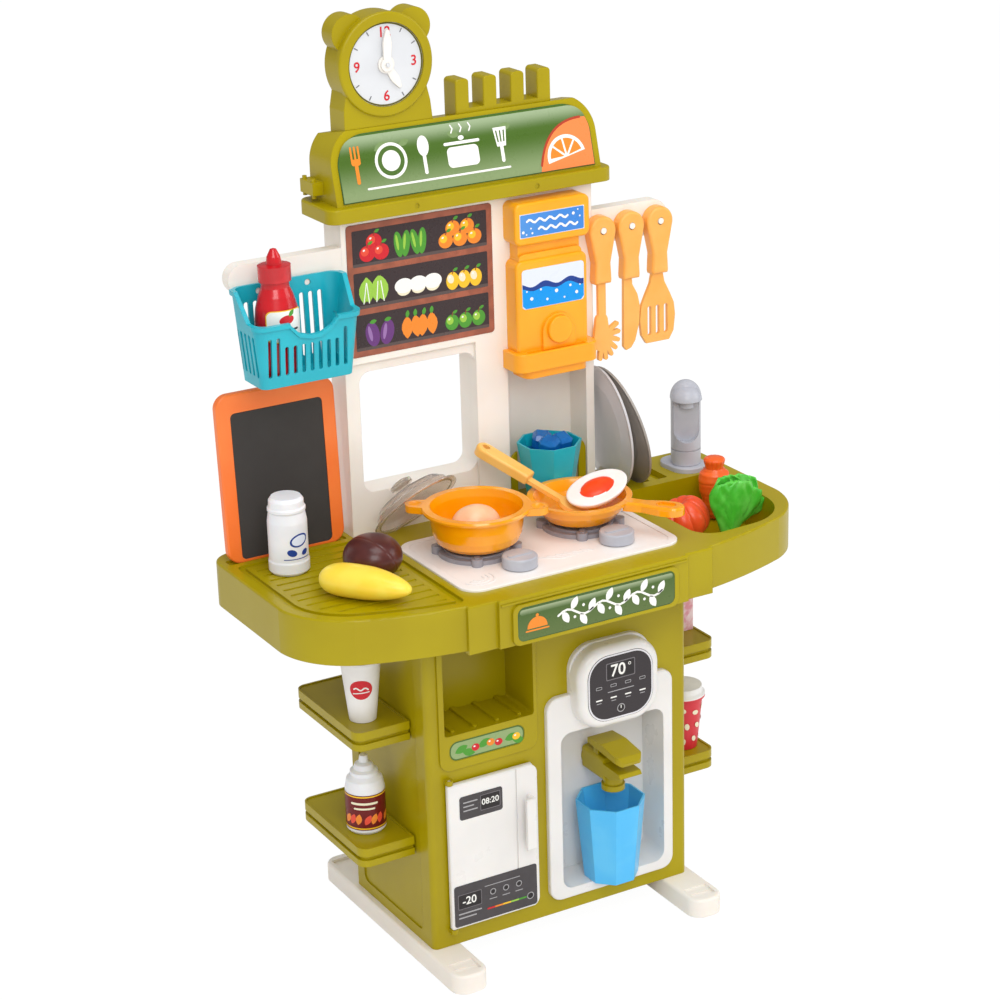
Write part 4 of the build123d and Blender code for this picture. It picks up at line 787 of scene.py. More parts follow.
@dataclass
class Signs:
    """The printed plates on the roof and on the worktop's front.

    Attributes:
        rim: width of the bare edge round the print, in millimetres.
        row_middle: middle of the row of tools, from the plate's middle.
        row_foot: foot of that row, from the plate's middle.
        enlarged: how much larger the tools are printed than drawn.
    """

    rim: float = 0.8
    row_middle: float = -34.0
    row_foot: float = -15.5
    enlarged: float = 1.24

    def roof_sign(self) -> None:
        """Prints kitchen tools over a green field, a painted highlight along the top, and a cut orange in the
        corner.
        """
        film = Print("roof_sign_print", Sheet.on("sign_plates", 0))
        wide, high = film.base.half
        low, top = (film.base.point(0, v, 0).z for v in (-high, high))
        rise = top - low
        field = replace(ROOF_FIELD, span=(low, low + 0.62 * rise))
        painted_highlight = replace(ROOF_PAINTED_HIGHLIGHT, span=(low + 0.68 * rise, low + 0.97 * rise))
        film.shape(arch(wide - self.rim, -high + self.rim, high - self.rim, 29.0), field)
        # A painted highlight: a pale band along the sign's top edge, where the glossy film would catch the
        # light.
        film.shape(arch(wide - 2.4, high - 24.0, high - 2.4, 21.0), painted_highlight, 2)
        for place_of_leaf in ((-100, 14, 17, 20), (-20, 20, 13, -15), (36, 17, 15, 10), (-62, 20, 12, 200)):
            leaf(film, *place_of_leaf, ROOF_LEAF, 3)
        self.orange_corner(film, wide, high)
        film.stroke([(-112, -21), (44, -21)], 2.0, WHITE_INK, 4)
        self.tools(film)
        film.build()

    def orange_corner(self, film: Print, wide: float, high: float) -> None:
        """Prints an orange field in the right-hand corner and a cut fruit on it.

        Args:
            film: the roof's film.
            wide: half its width.
            high: half its height.
        """
        foot, bulge = Vector((wide - 62, -high + self.rim)), Vector((wide - 52, high * 0.62))
        shoulder = Vector((wide - 4.7, high - 15.3))
        edge = [tuple(foot * (1 - t) ** 2 + bulge * 2 * t * (1 - t) + shoulder * t ** 2)
                for t in (i / 16 for i in range(17))]
        corner = arc(wide - 29.8, high - 29.8, 29.0, 30, 0, 8)
        film.shape(edge + corner + [(wide - self.rim, -high + self.rim)], PEEL_INK, 3)
        film.stroke(edge[1:-1], 2.4, RIND_INK, 4)
        u, v = wide - 31, -high + 12
        film.shape(arc(u, v, 22, 12, 192), WHITE_INK, 5)
        for index in range(4):
            start = 18 + 42 * index
            film.shape([(u + 3 * cos(radians(start + 18)), v + 3 * sin(radians(start + 18)))]
                       + arc(u, v, 18.5, start, start + 36, 8), ORANGE_INK, 6)

    def tools(self, film: Print) -> None:
        """Prints fork, plate, spoon, pot and turner in white and orange.

        Args:
            film: the roof's film.
        """
        before = len(film.form.verts)
        film.stroke([(-104, -14), (-104, 0)], 3.0, ORANGE_INK, 4)
        film.shape(rounded(-108, -100, -1, 4, 2), ORANGE_INK, 4)
        for shift in (-3.2, 0, 3.2):
            film.stroke([(-104 + shift, 3), (-104 + shift, 13)], 1.6, ORANGE_INK, 4)
        film.shape(oval(-74, -1, 14, 14), WHITE_INK, 4)
        film.shape(oval(-74, -1, 11.6, 11.6), DARK_GREEN_INK, 5)
        film.shape(oval(-74, -1, 8, 8), WHITE_INK, 6)
        film.stroke([(-45, -14), (-45, 2)], 3.0, WHITE_INK, 4)
        film.shape(oval(-45, 6.5, 5, 8), WHITE_INK, 4)
        film.shape(rounded(-25, 3, -14, 2, 4), WHITE_INK, 4)
        film.shape(rounded(-27, 5, 3.6, 6.0, 1.2), WHITE_INK, 4)
        film.shape(oval(-11, 8.4, 2.6, 1.8), WHITE_INK, 4)
        for u in (-19, -11, -3):
            film.stroke([(u, 13), (u + 1.6, 16), (u, 19)], 1.1, WHITE_INK, 4)
        film.stroke([(24, -14), (24, -2)], 3.0, WHITE_INK, 4)
        film.shape([(20, -3), (28, -3), (30, 12), (18, 12)], WHITE_INK, 4)
        for shift in (-2.6, 0, 2.6):
            film.stroke([(24 + shift, 1), (24 + shift * 1.3, 9)], 1.3, DARK_GREEN_INK, 5)
        for vert in list(film.form.verts)[before:]:
            vert.co.x = self.row_middle + self.enlarged * (vert.co.x - self.row_middle)
            vert.co.y = self.row_foot + self.enlarged * (vert.co.y - self.row_foot)

    def front_sign(self) -> None:
        """Prints a garland of white leaves beside an orange half, over a green field with a painted highlight
        along the top.
        """
        film = Print("front_sign_print", Sheet.on("sign_plates", 1))
        wide, high = film.base.half
        low, top = (film.base.point(0, v, 0).z for v in (-high, high))
        film.shape(rounded(-wide + self.rim, wide - self.rim, -high + self.rim, high - self.rim, 4),
                   replace(FRONT_FIELD, span=(low, top)))
        # A painted highlight: a pale band along the sign's top edge.
        film.shape(rounded(-wide + 2.4, wide - 2.4, high - 8, high - 2.4, 2.6),
                   replace(FRONT_PAINTED_HIGHLIGHT, span=(top - 0.28 * (top - low), top)), 2)
        film.shape(arc(-wide + 21, -6, 11, 0, 180), ORANGE_INK, 3)
        film.shape(rounded(-wide + 8, -wide + 34, -9, -7.4, 0.8), ORANGE_INK, 3)
        film.shape(oval(-wide + 21, 6.4, 1.7, 1.7), ORANGE_INK, 3)
        reach = 2 * wide - 58
        vine = [(-wide + 44 + reach * i / 24, 4.2 * sin(i * pi / 4)) for i in range(25)]
        film.stroke(vine, 2.2, WHITE_INK, 4)
        for index, (u, v) in enumerate(vine[1:-1:2]):
            leaf(film, u, v, 14.0, 62 if index % 2 else -62, WHITE_INK, 4)
            film.shape(oval(u + 3.5, -v * 1.7, 1.5, 1.5), WHITE_INK, 4)
        film.build()

    def dress(self) -> None:
        """Paints the plates and prints them."""
        paint("sign_plates", SIGN_FILM)
        self.roof_sign()
        self.front_sign()


@dataclass
class ProduceBoard:
    """The printed panel of shelves with fruit on the tower's front.

    Attributes:
        rim: width of the frame round the shelves, in millimetres.
        bar: height of the bars between them.
    """

    rim: float = 6.0
    bar: float = 6.0

    def fruit(self, film: Print, u: float, v: float, wide: float, high: float, inks: tuple[Ink, Ink]) -> None:
        """Prints one round fruit with a lit side, a stalk and a leaf.

        Args:
            film: the board's film.
            u: the fruit's middle, from left to right.
            v: its middle, upwards.
            wide: half its width.
            high: half its height.
            inks: its own colour and that of its lit side.
        """
        film.shape(oval(u, v, wide, high), inks[0], 3)
        film.shape(oval(u - wide * 0.3, v + high * 0.25, wide * 0.5, high * 0.52, 20), inks[1], 4)
        film.shape(oval(u - wide * 0.42, v + high * 0.45, wide * 0.15, high * 0.12, 20), WHITE_INK, 5)
        film.stroke([(u, v + high * 0.8), (u + 1.2, v + high + 2.2)], 1.0, BROWN_INK, 5)
        leaf(film, u + 0.8, v + high + 1.0, 6.0, 24, GREEN_INK, 5)

    def top_shelf(self, film: Print, board: float) -> None:
        """Prints apples, peppers and a heap of oranges.

        Args:
            film: the board's film.
            board: height of the shelf's top, from the film's middle.
        """
        for u, rise in ((-58, 9), (-43, 9), (-50.5, 20)):
            self.fruit(film, u, board + rise, 8.5, 8, (RED_INK, TOMATO_INK))
        for u, tilt in ((-24, 8), (-16, -6), (-6, 12), (2, -4)):
            film.shape(oval(u, board + 13, 4.6, 13, tilt), GREEN_INK, 3)
            film.shape(oval(u - 1.3, board + 15, 1.4, 8, tilt), LIME_INK, 4)
        for u, rise in ((28, 8.5), (44, 8.5), (60, 8.5), (36, 20), (52, 20)):
            self.fruit(film, u, board + rise, 8, 7.6, (ORANGE_INK, YELLOW_INK))

    def middle_shelf(self, film: Print, board: float) -> None:
        """Prints leafy greens, mushrooms and pears.

        Args:
            film: the board's film.
            board: height of the shelf's top, from the film's middle.
        """
        for u, tilt in ((-64, 80), (-58, 96), (-50, 84), (-42, 98)):
            leaf(film, u, board + 2, 26, tilt, LIME_INK, 3)
            film.stroke([(u, board + 2), (u + 20 * cos(radians(tilt)), board + 22)], 1.0, WHITE_INK, 4)
        for u in (-20, -4, 12):
            film.shape(oval(u, board + 9, 7.6, 6), CREAM_INK, 3)
            film.shape(oval(u, board + 13, 10, 7.5), WHITE_INK, 4)
        for u in (34, 47, 60):
            self.fruit(film, u, board + 9, 7, 9, (YELLOW_INK, CREAM_INK))

    def bottom_shelf(self, film: Print, board: float) -> None:
        """Prints aubergines, carrots and green apples.

        Args:
            film: the board's film.
            board: height of the shelf's top, from the film's middle.
        """
        for u, tilt in ((-56, 12), (-40, -10)):
            film.shape(oval(u, board + 12, 7.5, 12.5, tilt), PURPLE_INK, 3)
            film.shape(oval(u - 2.5, board + 13, 2.0, 8, tilt), LILAC_INK, 4)
            leaf(film, u - 3, board + 24, 8, 10, GREEN_INK, 5)
        for u, tilt in ((-18, 0), (-9, 6), (0, -5), (9, 3)):
            leaf(film, u, board + 24, 23, -90 + tilt, ORANGE_INK, 3)
            leaf(film, u, board + 22, 8, 80 + tilt, GREEN_INK, 4)
        for u in (32, 47, 62):
            self.fruit(film, u, board + 9, 7.5, 8, (GREEN_INK, LIME_INK))

    def dress(self) -> None:
        """Paints the panel and prints three shelves."""
        paint("produce_board", BOARD_FILM)
        film = Print("produce_board_print", Sheet.on("produce_board"))
        wide, high = film.base.half
        step = (2 * high - 2 * self.rim + self.bar) / 3
        for row in range(3):
            low = -high + self.rim + row * step
            film.shape(rounded(-wide + self.rim, wide - self.rim, low, low + step - self.bar, 1.5), SHELF_INK)
            film.shape(rounded(-wide + self.rim, wide - self.rim, low, low + 3.2, 1.2), SHELF_SHADE, 2)
        boards = [-high + self.rim + row * step + 3 for row in range(3)]
        self.top_shelf(film, boards[2])
        self.middle_shelf(film, boards[1])
        self.bottom_shelf(film, boards[0])
        film.build()


@dataclass
class Fountain:
    """The amber drink fountain on the tower."""

    def dress(self) -> None:
        """Paints the fountain and prints its label and water window."""
        paint("fountain_body", AMBER_PP)
        paint("fountain_button", AMBER_PP)
        paint("fountain_labels", BLUE_FILM)
        self.label()
        self.water_window()

    def label(self) -> None:
        """Prints two waves for the lettering, with droplets round them."""
        label = Print("fountain_label_print", Sheet.on("fountain_labels", 0))
        wide, high = label.base.half
        label.shape(rounded(-wide + 0.6, wide - 0.6, -high + 0.6, high - 0.6, 1.5), LABEL_FIELD)
        for row, (start, end) in enumerate(((-0.78, 0.48), (-0.42, 0.78))):
            v = high * (0.36 - 0.74 * row)
            line = [(wide * (start + (end - start) * i / 20), v + 1.7 * sin(i * pi / 2.5)) for i in range(21)]
            label.stroke(line, 2.2, WHITE_INK, 3)
        for u, v, r in ((-0.9, -0.5, 1.5), (-0.66, -0.25, 0.9), (0.66, 0.45, 1.6), (0.86, 0.15, 0.9),
                        (-0.8, -0.72, 0.8), (0.8, 0.72, 0.8), (-0.62, -0.66, 1.1)):
            label.shape(oval(wide * u, high * v, r, r), WHITE_INK, 3)
        label.build()

    def water_window(self) -> None:
        """Prints blue water with a wavy crest and bubbles."""
        window = Print("water_window_print", Sheet.on("fountain_labels", 1))
        wide, high = window.base.half
        window.shape(rounded(-wide + 0.4, wide - 0.4, -high + 0.4, high - 0.4, 3.6), PALE_BLUE_INK)
        crest = [(wide * (-1 + i / 12) * 0.985, high * 0.2 + 2.4 * sin(i * pi / 5 + 2.4)) for i in range(25)]
        foot = [(wide * 0.985, -high + 4), (wide - 4, -high + 0.5), (-wide + 4, -high + 0.5),
                (-wide * 0.985, -high + 4)]
        window.shape(crest + foot, NAVY_INK, 2)
        window.shape([(u, v - 5 + 1.2 * sin(u / 6)) for u, v in crest] + foot, SKY_INK, 3)
        for u, v, r in ((-0.7, -0.5, 1.8), (-0.4, -0.1, 1.1), (-0.2, -0.65, 1.3), (0.1, -0.3, 1.9),
                        (0.35, -0.7, 1.0), (0.55, -0.15, 1.3), (0.75, -0.55, 1.7), (-0.85, -0.1, 0.9),
                        (0.86, -0.2, 0.8)):
            window.shape(oval(wide * u, high * v, r, r), WHITE_INK, 4)
        window.build()


@dataclass
class Refrigerator:
    """The white door, its displays and the compartment's label.

    Attributes:
        label_half: the label's half width and half height, in millimetres.
        label_from_side: from the liners' left side to the label's middle.
        label_inset: from the liners' front to the label.
        label_height: from the floor to the label's middle.
        label_rim: width of the label's dark edge.
    """

    label_half: tuple[float, float] = (42.0, 10.0)
    label_from_side: float = 53.0
    label_inset: float = 0.48
    label_height: float = 232.5
    label_rim: float = 1.4

    def dress(self) -> None:
        """Paints the door and prints the two displays and the strip over it."""
        paint("fridge_door", WHITE_ABS)
        paint("fridge_displays", SCREEN_FILM)
        self.upper_display()
        self.lower_display()
        self.compartment_label()

    def upper_display(self) -> None:
        """Prints the time in a frame, beside three grey bars."""
        clock = Print("upper_display_print", Sheet.on("fridge_displays", 0), "fridge_door")
        wide, high = clock.base.half
        clock.shape(rounded(-1, wide - 2.5, -high + 5, high - 3.5, 1), OUTLINE_INK)
        clock.shape(rounded(-0.3, wide - 3.2, -high + 5.7, high - 4.2, 0.8), BLACK_INK, 2)
        clock.figures("08:20", wide / 2 - 1.8, 1, 6.2, WHITE_INK)
        for row in range(3):
            v = 5 - 4.5 * row
            clock.shape(rounded(-wide + 4, -4 - 4 * (row % 2), v, v + 1.4, 0.6), GREY_INK, 2)
        clock.build()

    def lower_display(self) -> None:
        """Prints the freezer's figure, three round signs, a colour scale and a button."""
        strip = Print("lower_display_print", Sheet.on("fridge_displays", 1), "fridge_door")
        wide, high = strip.base.half
        strip.shape(rounded(-wide + 4, -wide + 31, -4, 12.5, 1), OUTLINE_INK)
        strip.shape(rounded(-wide + 4.7, -wide + 30.3, -3.3, 11.8, 0.8), BLACK_INK, 2)
        strip.figures("-20", -wide + 17, 4.2, 8.5, WHITE_INK)
        for index in range(3):
            u = -wide + 44 + 15 * index
            strip.shape(oval(u, 6, 3.4, 3.4), GREY_INK)
            strip.shape(oval(u, 6, 2.5, 2.5), BLACK_INK, 2)
            strip.stroke([(u - 4, -1.5), (u + 4, -1.5)], 0.9, GREY_INK)
        strip.stroke([(-wide + 35, 14), (wide - 20, 14)], 0.8, GREY_INK)
        for index in range(2):
            v = -9 - 4.5 * index
            strip.stroke([(-wide + 5, v), (-wide + 30 - 6 * index, v)], 1.5, GREY_INK)
        for index, ink in enumerate((RED_INK, ORANGE_INK, YELLOW_INK, LIME_INK, GREEN_INK)):
            u = -wide + 37 + 9 * index
            strip.shape(rounded(u, u + 9.4, -12.6, -10.8, 0.4), ink, 2)
        strip.shape(oval(wide - 8, -11.5, 4, 4), GREY_INK, 3)
        strip.shape(oval(wide - 8, -11.5, 3.1, 3.1), BLACK_INK, 4)
        strip.build()

    def compartment_label(self) -> None:
        """Prints a bare green label with vegetables in the pocket under the open compartment."""
        low = extent("cabinet_liners")[0]
        middle = Vector((low.x + self.label_from_side * MM, low.y + self.label_inset * MM,
                         self.label_height * MM))
        film = Print("compartment_label_print", Sheet(middle, Vector((1, 0, 0)), Vector((0, 0, 1)),
                                                      Vector((0, -1, 0)), self.label_half))
        wide, high = self.label_half
        film.shape(rounded(-wide, wide, -high, high, 8.6), DARK_GREEN_INK)
        wide, high = wide - self.label_rim, high - self.label_rim
        film.shape(rounded(-wide, wide, -high, high, 7.4), LABEL_GREEN, 2)
        for u, tilt in ((-32, 20), (-24, -18), (-6, 24), (24, 12), (32, -24)):
            leaf(film, u - 4, -2, 15, tilt, GREEN_INK, 3)
        for u, v, ink in ((-13, -1, RED_INK), (4, 0, ORANGE_INK), (13, -2, RED_INK), (33, -1, YELLOW_INK)):
            film.shape(oval(u, v, 4.4, 3.8), ink, 4)
            film.shape(oval(u - 1.3, v + 1.2, 1.2, 0.9), WHITE_INK, 5)
        film.build()


@dataclass
class Dispenser:
    """The printed display on the water dispenser's head."""

    def dress(self) -> None:
        """Paints the plate and prints its ring, figures and buttons."""
        paint("dispenser_display", SCREEN_FILM)
        film = Print("dispenser_display_print", Sheet.on("dispenser_display"))
        wide, high = film.base.half
        film.shape(rounded(-wide + 0.3, wide - 0.3, -high + 0.3, high - 0.3, 22.6), PALE_RING_INK)
        film.shape(rounded(-wide + 2.0, wide - 2.0, -high + 2.0, high - 2.0, 21), DISPLAY_FIELD, 2)
        film.shape(rounded(-17, 17, 8, high - 8.5, 1.5), OUTLINE_INK, 3)
        film.shape(rounded(-16, 16, 9, high - 9.5, 1.0), BLACK_INK, 4)
        film.figures("70", -3.0, 17.2, 12.5, WHITE_INK, 5)
        film.shape(oval(10.5, 21.5, 1.7, 1.7), WHITE_INK, 5)
        film.shape(oval(10.5, 21.5, 1.0, 1.0), BLACK_INK, 6)
        for u in (-25.5, -8.5, 8.5, 25.5):
            film.shape(rounded(u - 3.5, u + 3.5, 0.4, 3.6, 0.8), GREY_INK, 3)
            film.shape(rounded(u - 2.9, u + 2.9, 1.0, 3.0, 0.5), BLACK_INK, 4)
            film.stroke([(u - 3, -11), (u + 3, -11)], 1.5, WHITE_INK, 3)
            film.stroke([(u - 2.4, -14.4), (u + 2.4, -14.4)], 0.8, GREY_INK, 3)
        film.stroke([(-15, -4.5), (15, -4.5)], 0.9, GREY_INK, 3)
        film.shape(oval(0, -24.5, 4.6, 4.6), GREY_INK, 3)
        film.shape(oval(0, -24.5, 3.7, 3.7), BLACK_INK, 4)
        film.stroke([(0, -24.5), (0, -21.8)], 0.9, WHITE_INK, 5)
        film.build()


@dataclass
class Clock:
    """The dial with its figures and the two hands.

    Attributes:
        ring: width of the dark ring round the dial, in millimetres.
    """

    ring: float = 1.8

    def dress(self) -> None:
        """Paints the dial and hands, and prints ring, ticks and figures."""
        paint("clock_dial", DIAL_ABS)
        paint("hour_hand", HAND_ABS)
        paint("minute_hand", HAND_ABS)
        film = Print("clock_dial_print", Sheet.on("clock_dial"))
        radius = film.base.half[0]
        for step in range(60):
            start = 6 * step
            outer = arc(0, 0, radius - 0.3, start, start + 6.2, 2)
            film.shape(outer + arc(0, 0, radius - self.ring, start + 6.2, start, 2), DARK_OLIVE_INK)
            c, s = cos(radians(start)), sin(radians(start))
            reach = radius - self.ring - 1.4
            if step % 5 == 0 and step % 15:
                film.stroke([(reach * c, reach * s), ((reach - 3.4) * c, (reach - 3.4) * s)], 1.1, TICK_INK)
        for words, angle in (("12", 90), ("3", 0), ("6", 270), ("9", 180)):
            reach = radius * 0.76
            film.figures(words, reach * cos(radians(angle)), reach * sin(radians(angle)), 9.6, RED_INK)
        film.build()


@dataclass
class Blackboard:
    """The framed chalk board at the back of the left wing."""

    def dress(self) -> None:
        """Paints the frame and the slate."""
        paint("blackboard_frame", RUST_PP)
        paint("blackboard_slate", SLATE_FILM)


@dataclass
class Cookware:
    """Pot, pan, lid, utensils, plates, cups and basket, with what lies in them.

    Attributes:
        yolk: radius of the yolk, as a share of the egg's.
        egg_half: half length, half width and depth of the egg half, in millimetres.
    """

    yolk: float = 0.55
    egg_half: tuple[float, float, float] = (34.2, 23.2, 12.6)

    def dress(self) -> None:
        """Paints the moulded dishes and builds the food in them."""
        for node, finish in {
                "basket": TEAL_PP, "slotted_spatula": UTENSIL_PP, "toy_knife": UTENSIL_PP,
                "pasta_server": UTENSIL_PP, "plate_left": PLATE_GREY_PP, "plate_right": PLATE_TAUPE_PP,
                "pot": PAN_PP, "pot_egg": PEACH_PVC, "pot_lid": CLEAR_PS, "frying_pan": PAN_PP,
                "serving_spoon": SPOON_PP, "teal_cup": TEAL_PP, "ice_cubes": ICE_PS,
                "blue_cup": SKY_PP}.items():
            paint(node, finish)
        self.boiled_egg()

    def boiled_egg(self) -> None:
        """Builds the boiled egg half: a white shell-shaped half with a raised yolk."""
        wide, deep, belly = self.egg_half
        low, high = extent("egg_half")
        middle = Vector(((low.x + high.x) / 2, (low.y + high.y) / 2, low.z + 14.5 * MM))
        turn = (Matrix.Rotation(radians(8), 3, "Z") @ Matrix.Rotation(radians(13), 3, "X")
                @ Matrix.Rotation(radians(-15), 3, "Y"))

        def shell(t: float, a: float) -> Vector:
            """Follows the rounded belly, the rim, the flat cut and the yolk.

            Args:
                t: share of the way from foot to top.
                a: angle round the axis, in radians.

            Returns:
                The point, in metres.
            """
            if t < 0.5:
                rise = radians(-90 + 180 * t)
                flat, z = cos(rise), belly * sin(rise)
            else:
                flat = 1 - (t - 0.5) / 0.5
                edge = min(1.0, (1 - flat) / 0.06)
                z = 0.9 * edge ** 0.5
                if flat < self.yolk:
                    z += 4.2 * (1 - (flat / self.yolk) ** 2) ** 0.5 - 0.5
            ripple = 1 + 0.012 * sin(3 * a + 1)
            reach = flat * ripple
            return middle + turn @ (Vector((wide * reach * cos(a), deep * reach * sin(a), z)) * MM)

        form = skin(shell, 60, 72)
        back = turn.inverted()
        for face in form.faces:
            places = [(back @ (vert.co - middle)) / MM for vert in face.verts]
            reach = max(((place.x / wide) ** 2 + (place.y / deep) ** 2) ** 0.5 for place in places)
            face.material_index = 1 if reach <= self.yolk + 0.02 else 0
        piece("egg_half_detailed", form, [EGG_PVC.material(), YOLK_PVC.material()], "frying_pan",
              ["egg_half"], True)


@dataclass
class Groceries:
    """Bottles, cups and cartons with their bare labels, and the fruit and vegetables.

    Attributes:
        lid_rise: height of the white lid's edge over the red cup's foot, in millimetres.
    """

    lid_rise: float = 60.0

    def dress(self) -> None:
        """Paints and labels everything that stands on the shelves, in the basket and on the worktop."""
        for node, finish in {"sauce_bottle": RED_PE, "milk_bottle": MILK_PE, "chili_bottle": MILK_PE,
                             "paper_cup": CUP_CARD, "carton": PINK_CARD}.items():
            paint(node, finish)
        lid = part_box("red_cup")[0][2] + self.lid_rise * MM
        paint("red_cup", replace(CUP_RED, name="lidded_cup_card", colour="#f3f2f0", deep="#e9e8e6",
                                 foot=CUP_RED.colour, foot_span=(lid, lid + 0.4 * MM)))
        self.sauce_label()
        self.chili_label()
        self.milk_label()
        self.paper_cup_print()
        self.red_cup_print()
        self.pumpkin_tomato()
        self.carrot()
        self.lettuce()
        self.mango()
        self.plum()

    def sauce_label(self) -> None:
        """Prints a white label with a yellow rim, a tomato and two bars for the lettering."""
        sauce = Print("sauce_label_print", Wrap("sauce_bottle", 54, 19.65, facing=3, oval=1.1), "basket")
        sauce.shape(rounded(-19, 19, -15.5, 15.5, 6), YELLOW_INK)
        sauce.shape(rounded(-18, 18, -14.5, 14.5, 5.4), WHITE_INK, 2)
        sauce.shape(oval(0, 6, 7, 4.4, 8), RED_INK, 3)
        leaf(sauce, 2, 9, 8, 50, GREEN_INK, 4)
        sauce.stroke([(-11, -4), (11, -4)], 2.0, BLACK_INK, 3)
        sauce.stroke([(-8, -9), (8, -9)], 1.0, GREY_INK, 3)
        sauce.build()

    def chili_label(self) -> None:
        """Prints a dark red band with a row of peppers and two bars for the lettering."""
        chili = Print("chili_label_print", Wrap("chili_bottle", 25, 20.1, facing=-30), "chili_bottle")
        chili.shape(rounded(-30, 30, -19, 19, 2), DARK_RED_INK)
        chili.shape(rounded(-30, 30, -18, -16.6, 0.6), YELLOW_INK, 2)
        chili.shape(rounded(-30, 30, 16.6, 18, 0.6), YELLOW_INK, 2)
        for index in range(7):
            ink = TOMATO_INK if index % 2 else ORANGE_INK
            leaf(chili, -22 + 7.4 * index, -13, 12, 60 + 10 * (index % 3), ink, 3)
        chili.stroke([(-13, 10), (13, 10)], 2.4, CREAM_INK, 3)
        chili.stroke([(-10, 4.5), (10, 4.5)], 2.0, CREAM_INK, 3)
        chili.build()

    def milk_label(self) -> None:
        """Prints three blue spots and a line straight on the bottle."""
        milk = Print("milk_label_print", Wrap("milk_bottle", 33, 19.4, facing=3), "milk_bottle")
        milk.shape(oval(2, 3, 10, 6.5, 12), NAVY_INK)
        milk.shape(oval(2, 3, 8, 4.9, 12), PALE_BLUE_INK, 2)
        milk.shape(oval(-6, -9, 5, 3.4, -20), NAVY_INK)
        milk.shape(oval(8, -10, 4, 2.8, 25), NAVY_INK)
        milk.stroke([(-14, -15.5), (14, -15.5)], 0.8, NAVY_INK)
        milk.build()

    def paper_cup_print(self) -> None:
        """Prints a red disc with a wave and a bar."""
        cup = Print("paper_cup_print", Wrap("paper_cup", 38, 17.45, 6.5 / 62, -28), "paper_cup")
        cup.shape(oval(0, -1, 11.5, 10.5, 6), RED_INK)
        cup.stroke([(-7 + i, 1.2 * sin(i / 1.4)) for i in range(15)], 1.5, WHITE_INK, 3)
        cup.stroke([(-8, -5), (8, -3.4)], 1.1, WHITE_INK, 3)
        cup.build()

    def red_cup_print(self) -> None:
        """Prints three rows of cream spots."""
        cups = Print("red_cup_print", Wrap("red_cup", 30, 18.6, 0.09, -38), "red_cup")
        for index in range(15):
            u = -24 + 13 * (index % 5) + 4 * (index // 5 % 2)
            v = -18 + 17 * (index // 5) + 2 * sin(index * 2.3)
            cups.shape(oval(u, v, 3.4 + 0.7 * sin(index), 2.6, 40 * index), CREAM_INK)
        cups.build()

    def pumpkin_tomato(self) -> None:
        """Builds the ribbed tomato, its stalk end turned up and back."""
        low, high = extent("tomato")
        middle, half = (low + high) / 2, (high - low) / 2
        tilt = Matrix.Rotation(radians(-16), 3, "Y") @ Matrix.Rotation(radians(-10), 3, "X")

        def flesh(t: float, a: float) -> Vector:
            """Swells between nine creases that fade at the poles.

            Args:
                t: share of the way from foot to top.
                a: angle round the axis, in radians.

            Returns:
                The point, in metres.
            """
            rise = radians(-90 + 180 * t)
            flat = cos(rise)
            crease = abs(cos(4.5 * a)) ** 0.42
            swell = 0.875 + 0.125 * crease if flat > 0.05 else 0.9
            dent = 0.24 * hump(flat, 0.32)
            height = sin(rise) * (1 - dent) * (0.95 + 0.05 * crease)
            reach = 0.99 * flat ** 0.86 * swell
            return middle + tilt @ Vector((half.x * reach * cos(a), half.y * reach * sin(a),
                                           half.z * 0.98 * height))

        piece("tomato_detailed", skin(flesh, 44, 144), [TOMATO_PVC.material()], "tomato",
              ["tomato"], True)

    def carrot(self) -> None:
        """Builds the carrot: a shouldered root with fine rings and a fluted crown."""
        low, high = extent("carrot")
        middle, half = (low + high) / 2, (high - low) / 2
        outline = ((0.0, 0.0), (0.03, 0.3), (0.12, 0.5), (0.3, 0.74), (0.5, 0.92), (0.64, 0.97), (0.74, 0.9),
                   (0.81, 0.66), (0.825, 0.5), (0.84, 0.56), (0.95, 0.66), (0.985, 0.6), (1.0, 0.0))

        def root(t: float, a: float) -> Vector:
            """Follows the root's outline.

            Args:
                t: share of the way from foot to top.
                a: angle round the axis, in radians.

            Returns:
                The point, in metres.
            """
            for (z0, r0), (z1, r1) in zip(outline, outline[1:]):
                if z0 <= t <= z1:
                    share = (t - z0) / (z1 - z0)
                    reach = r0 + (r1 - r0) * (3 * share ** 2 - 2 * share ** 3)
                    break
            if t > 0.83:
                reach *= 0.94 + 0.06 * abs(cos(7 * a)) ** 0.5
            else:
                reach *= 1 - 0.03 * max(0.0, sin(34 * t + 0.8 * sin(a))) ** 8
            return Vector((middle.x + half.x * reach * cos(a), middle.y + half.y * reach * sin(a),
                           low.z + 2 * half.z * t))

        piece("carrot_detailed", skin(root, 90, 84), [ORANGE_PVC.material()], "carrot",
              ["carrot"], True)

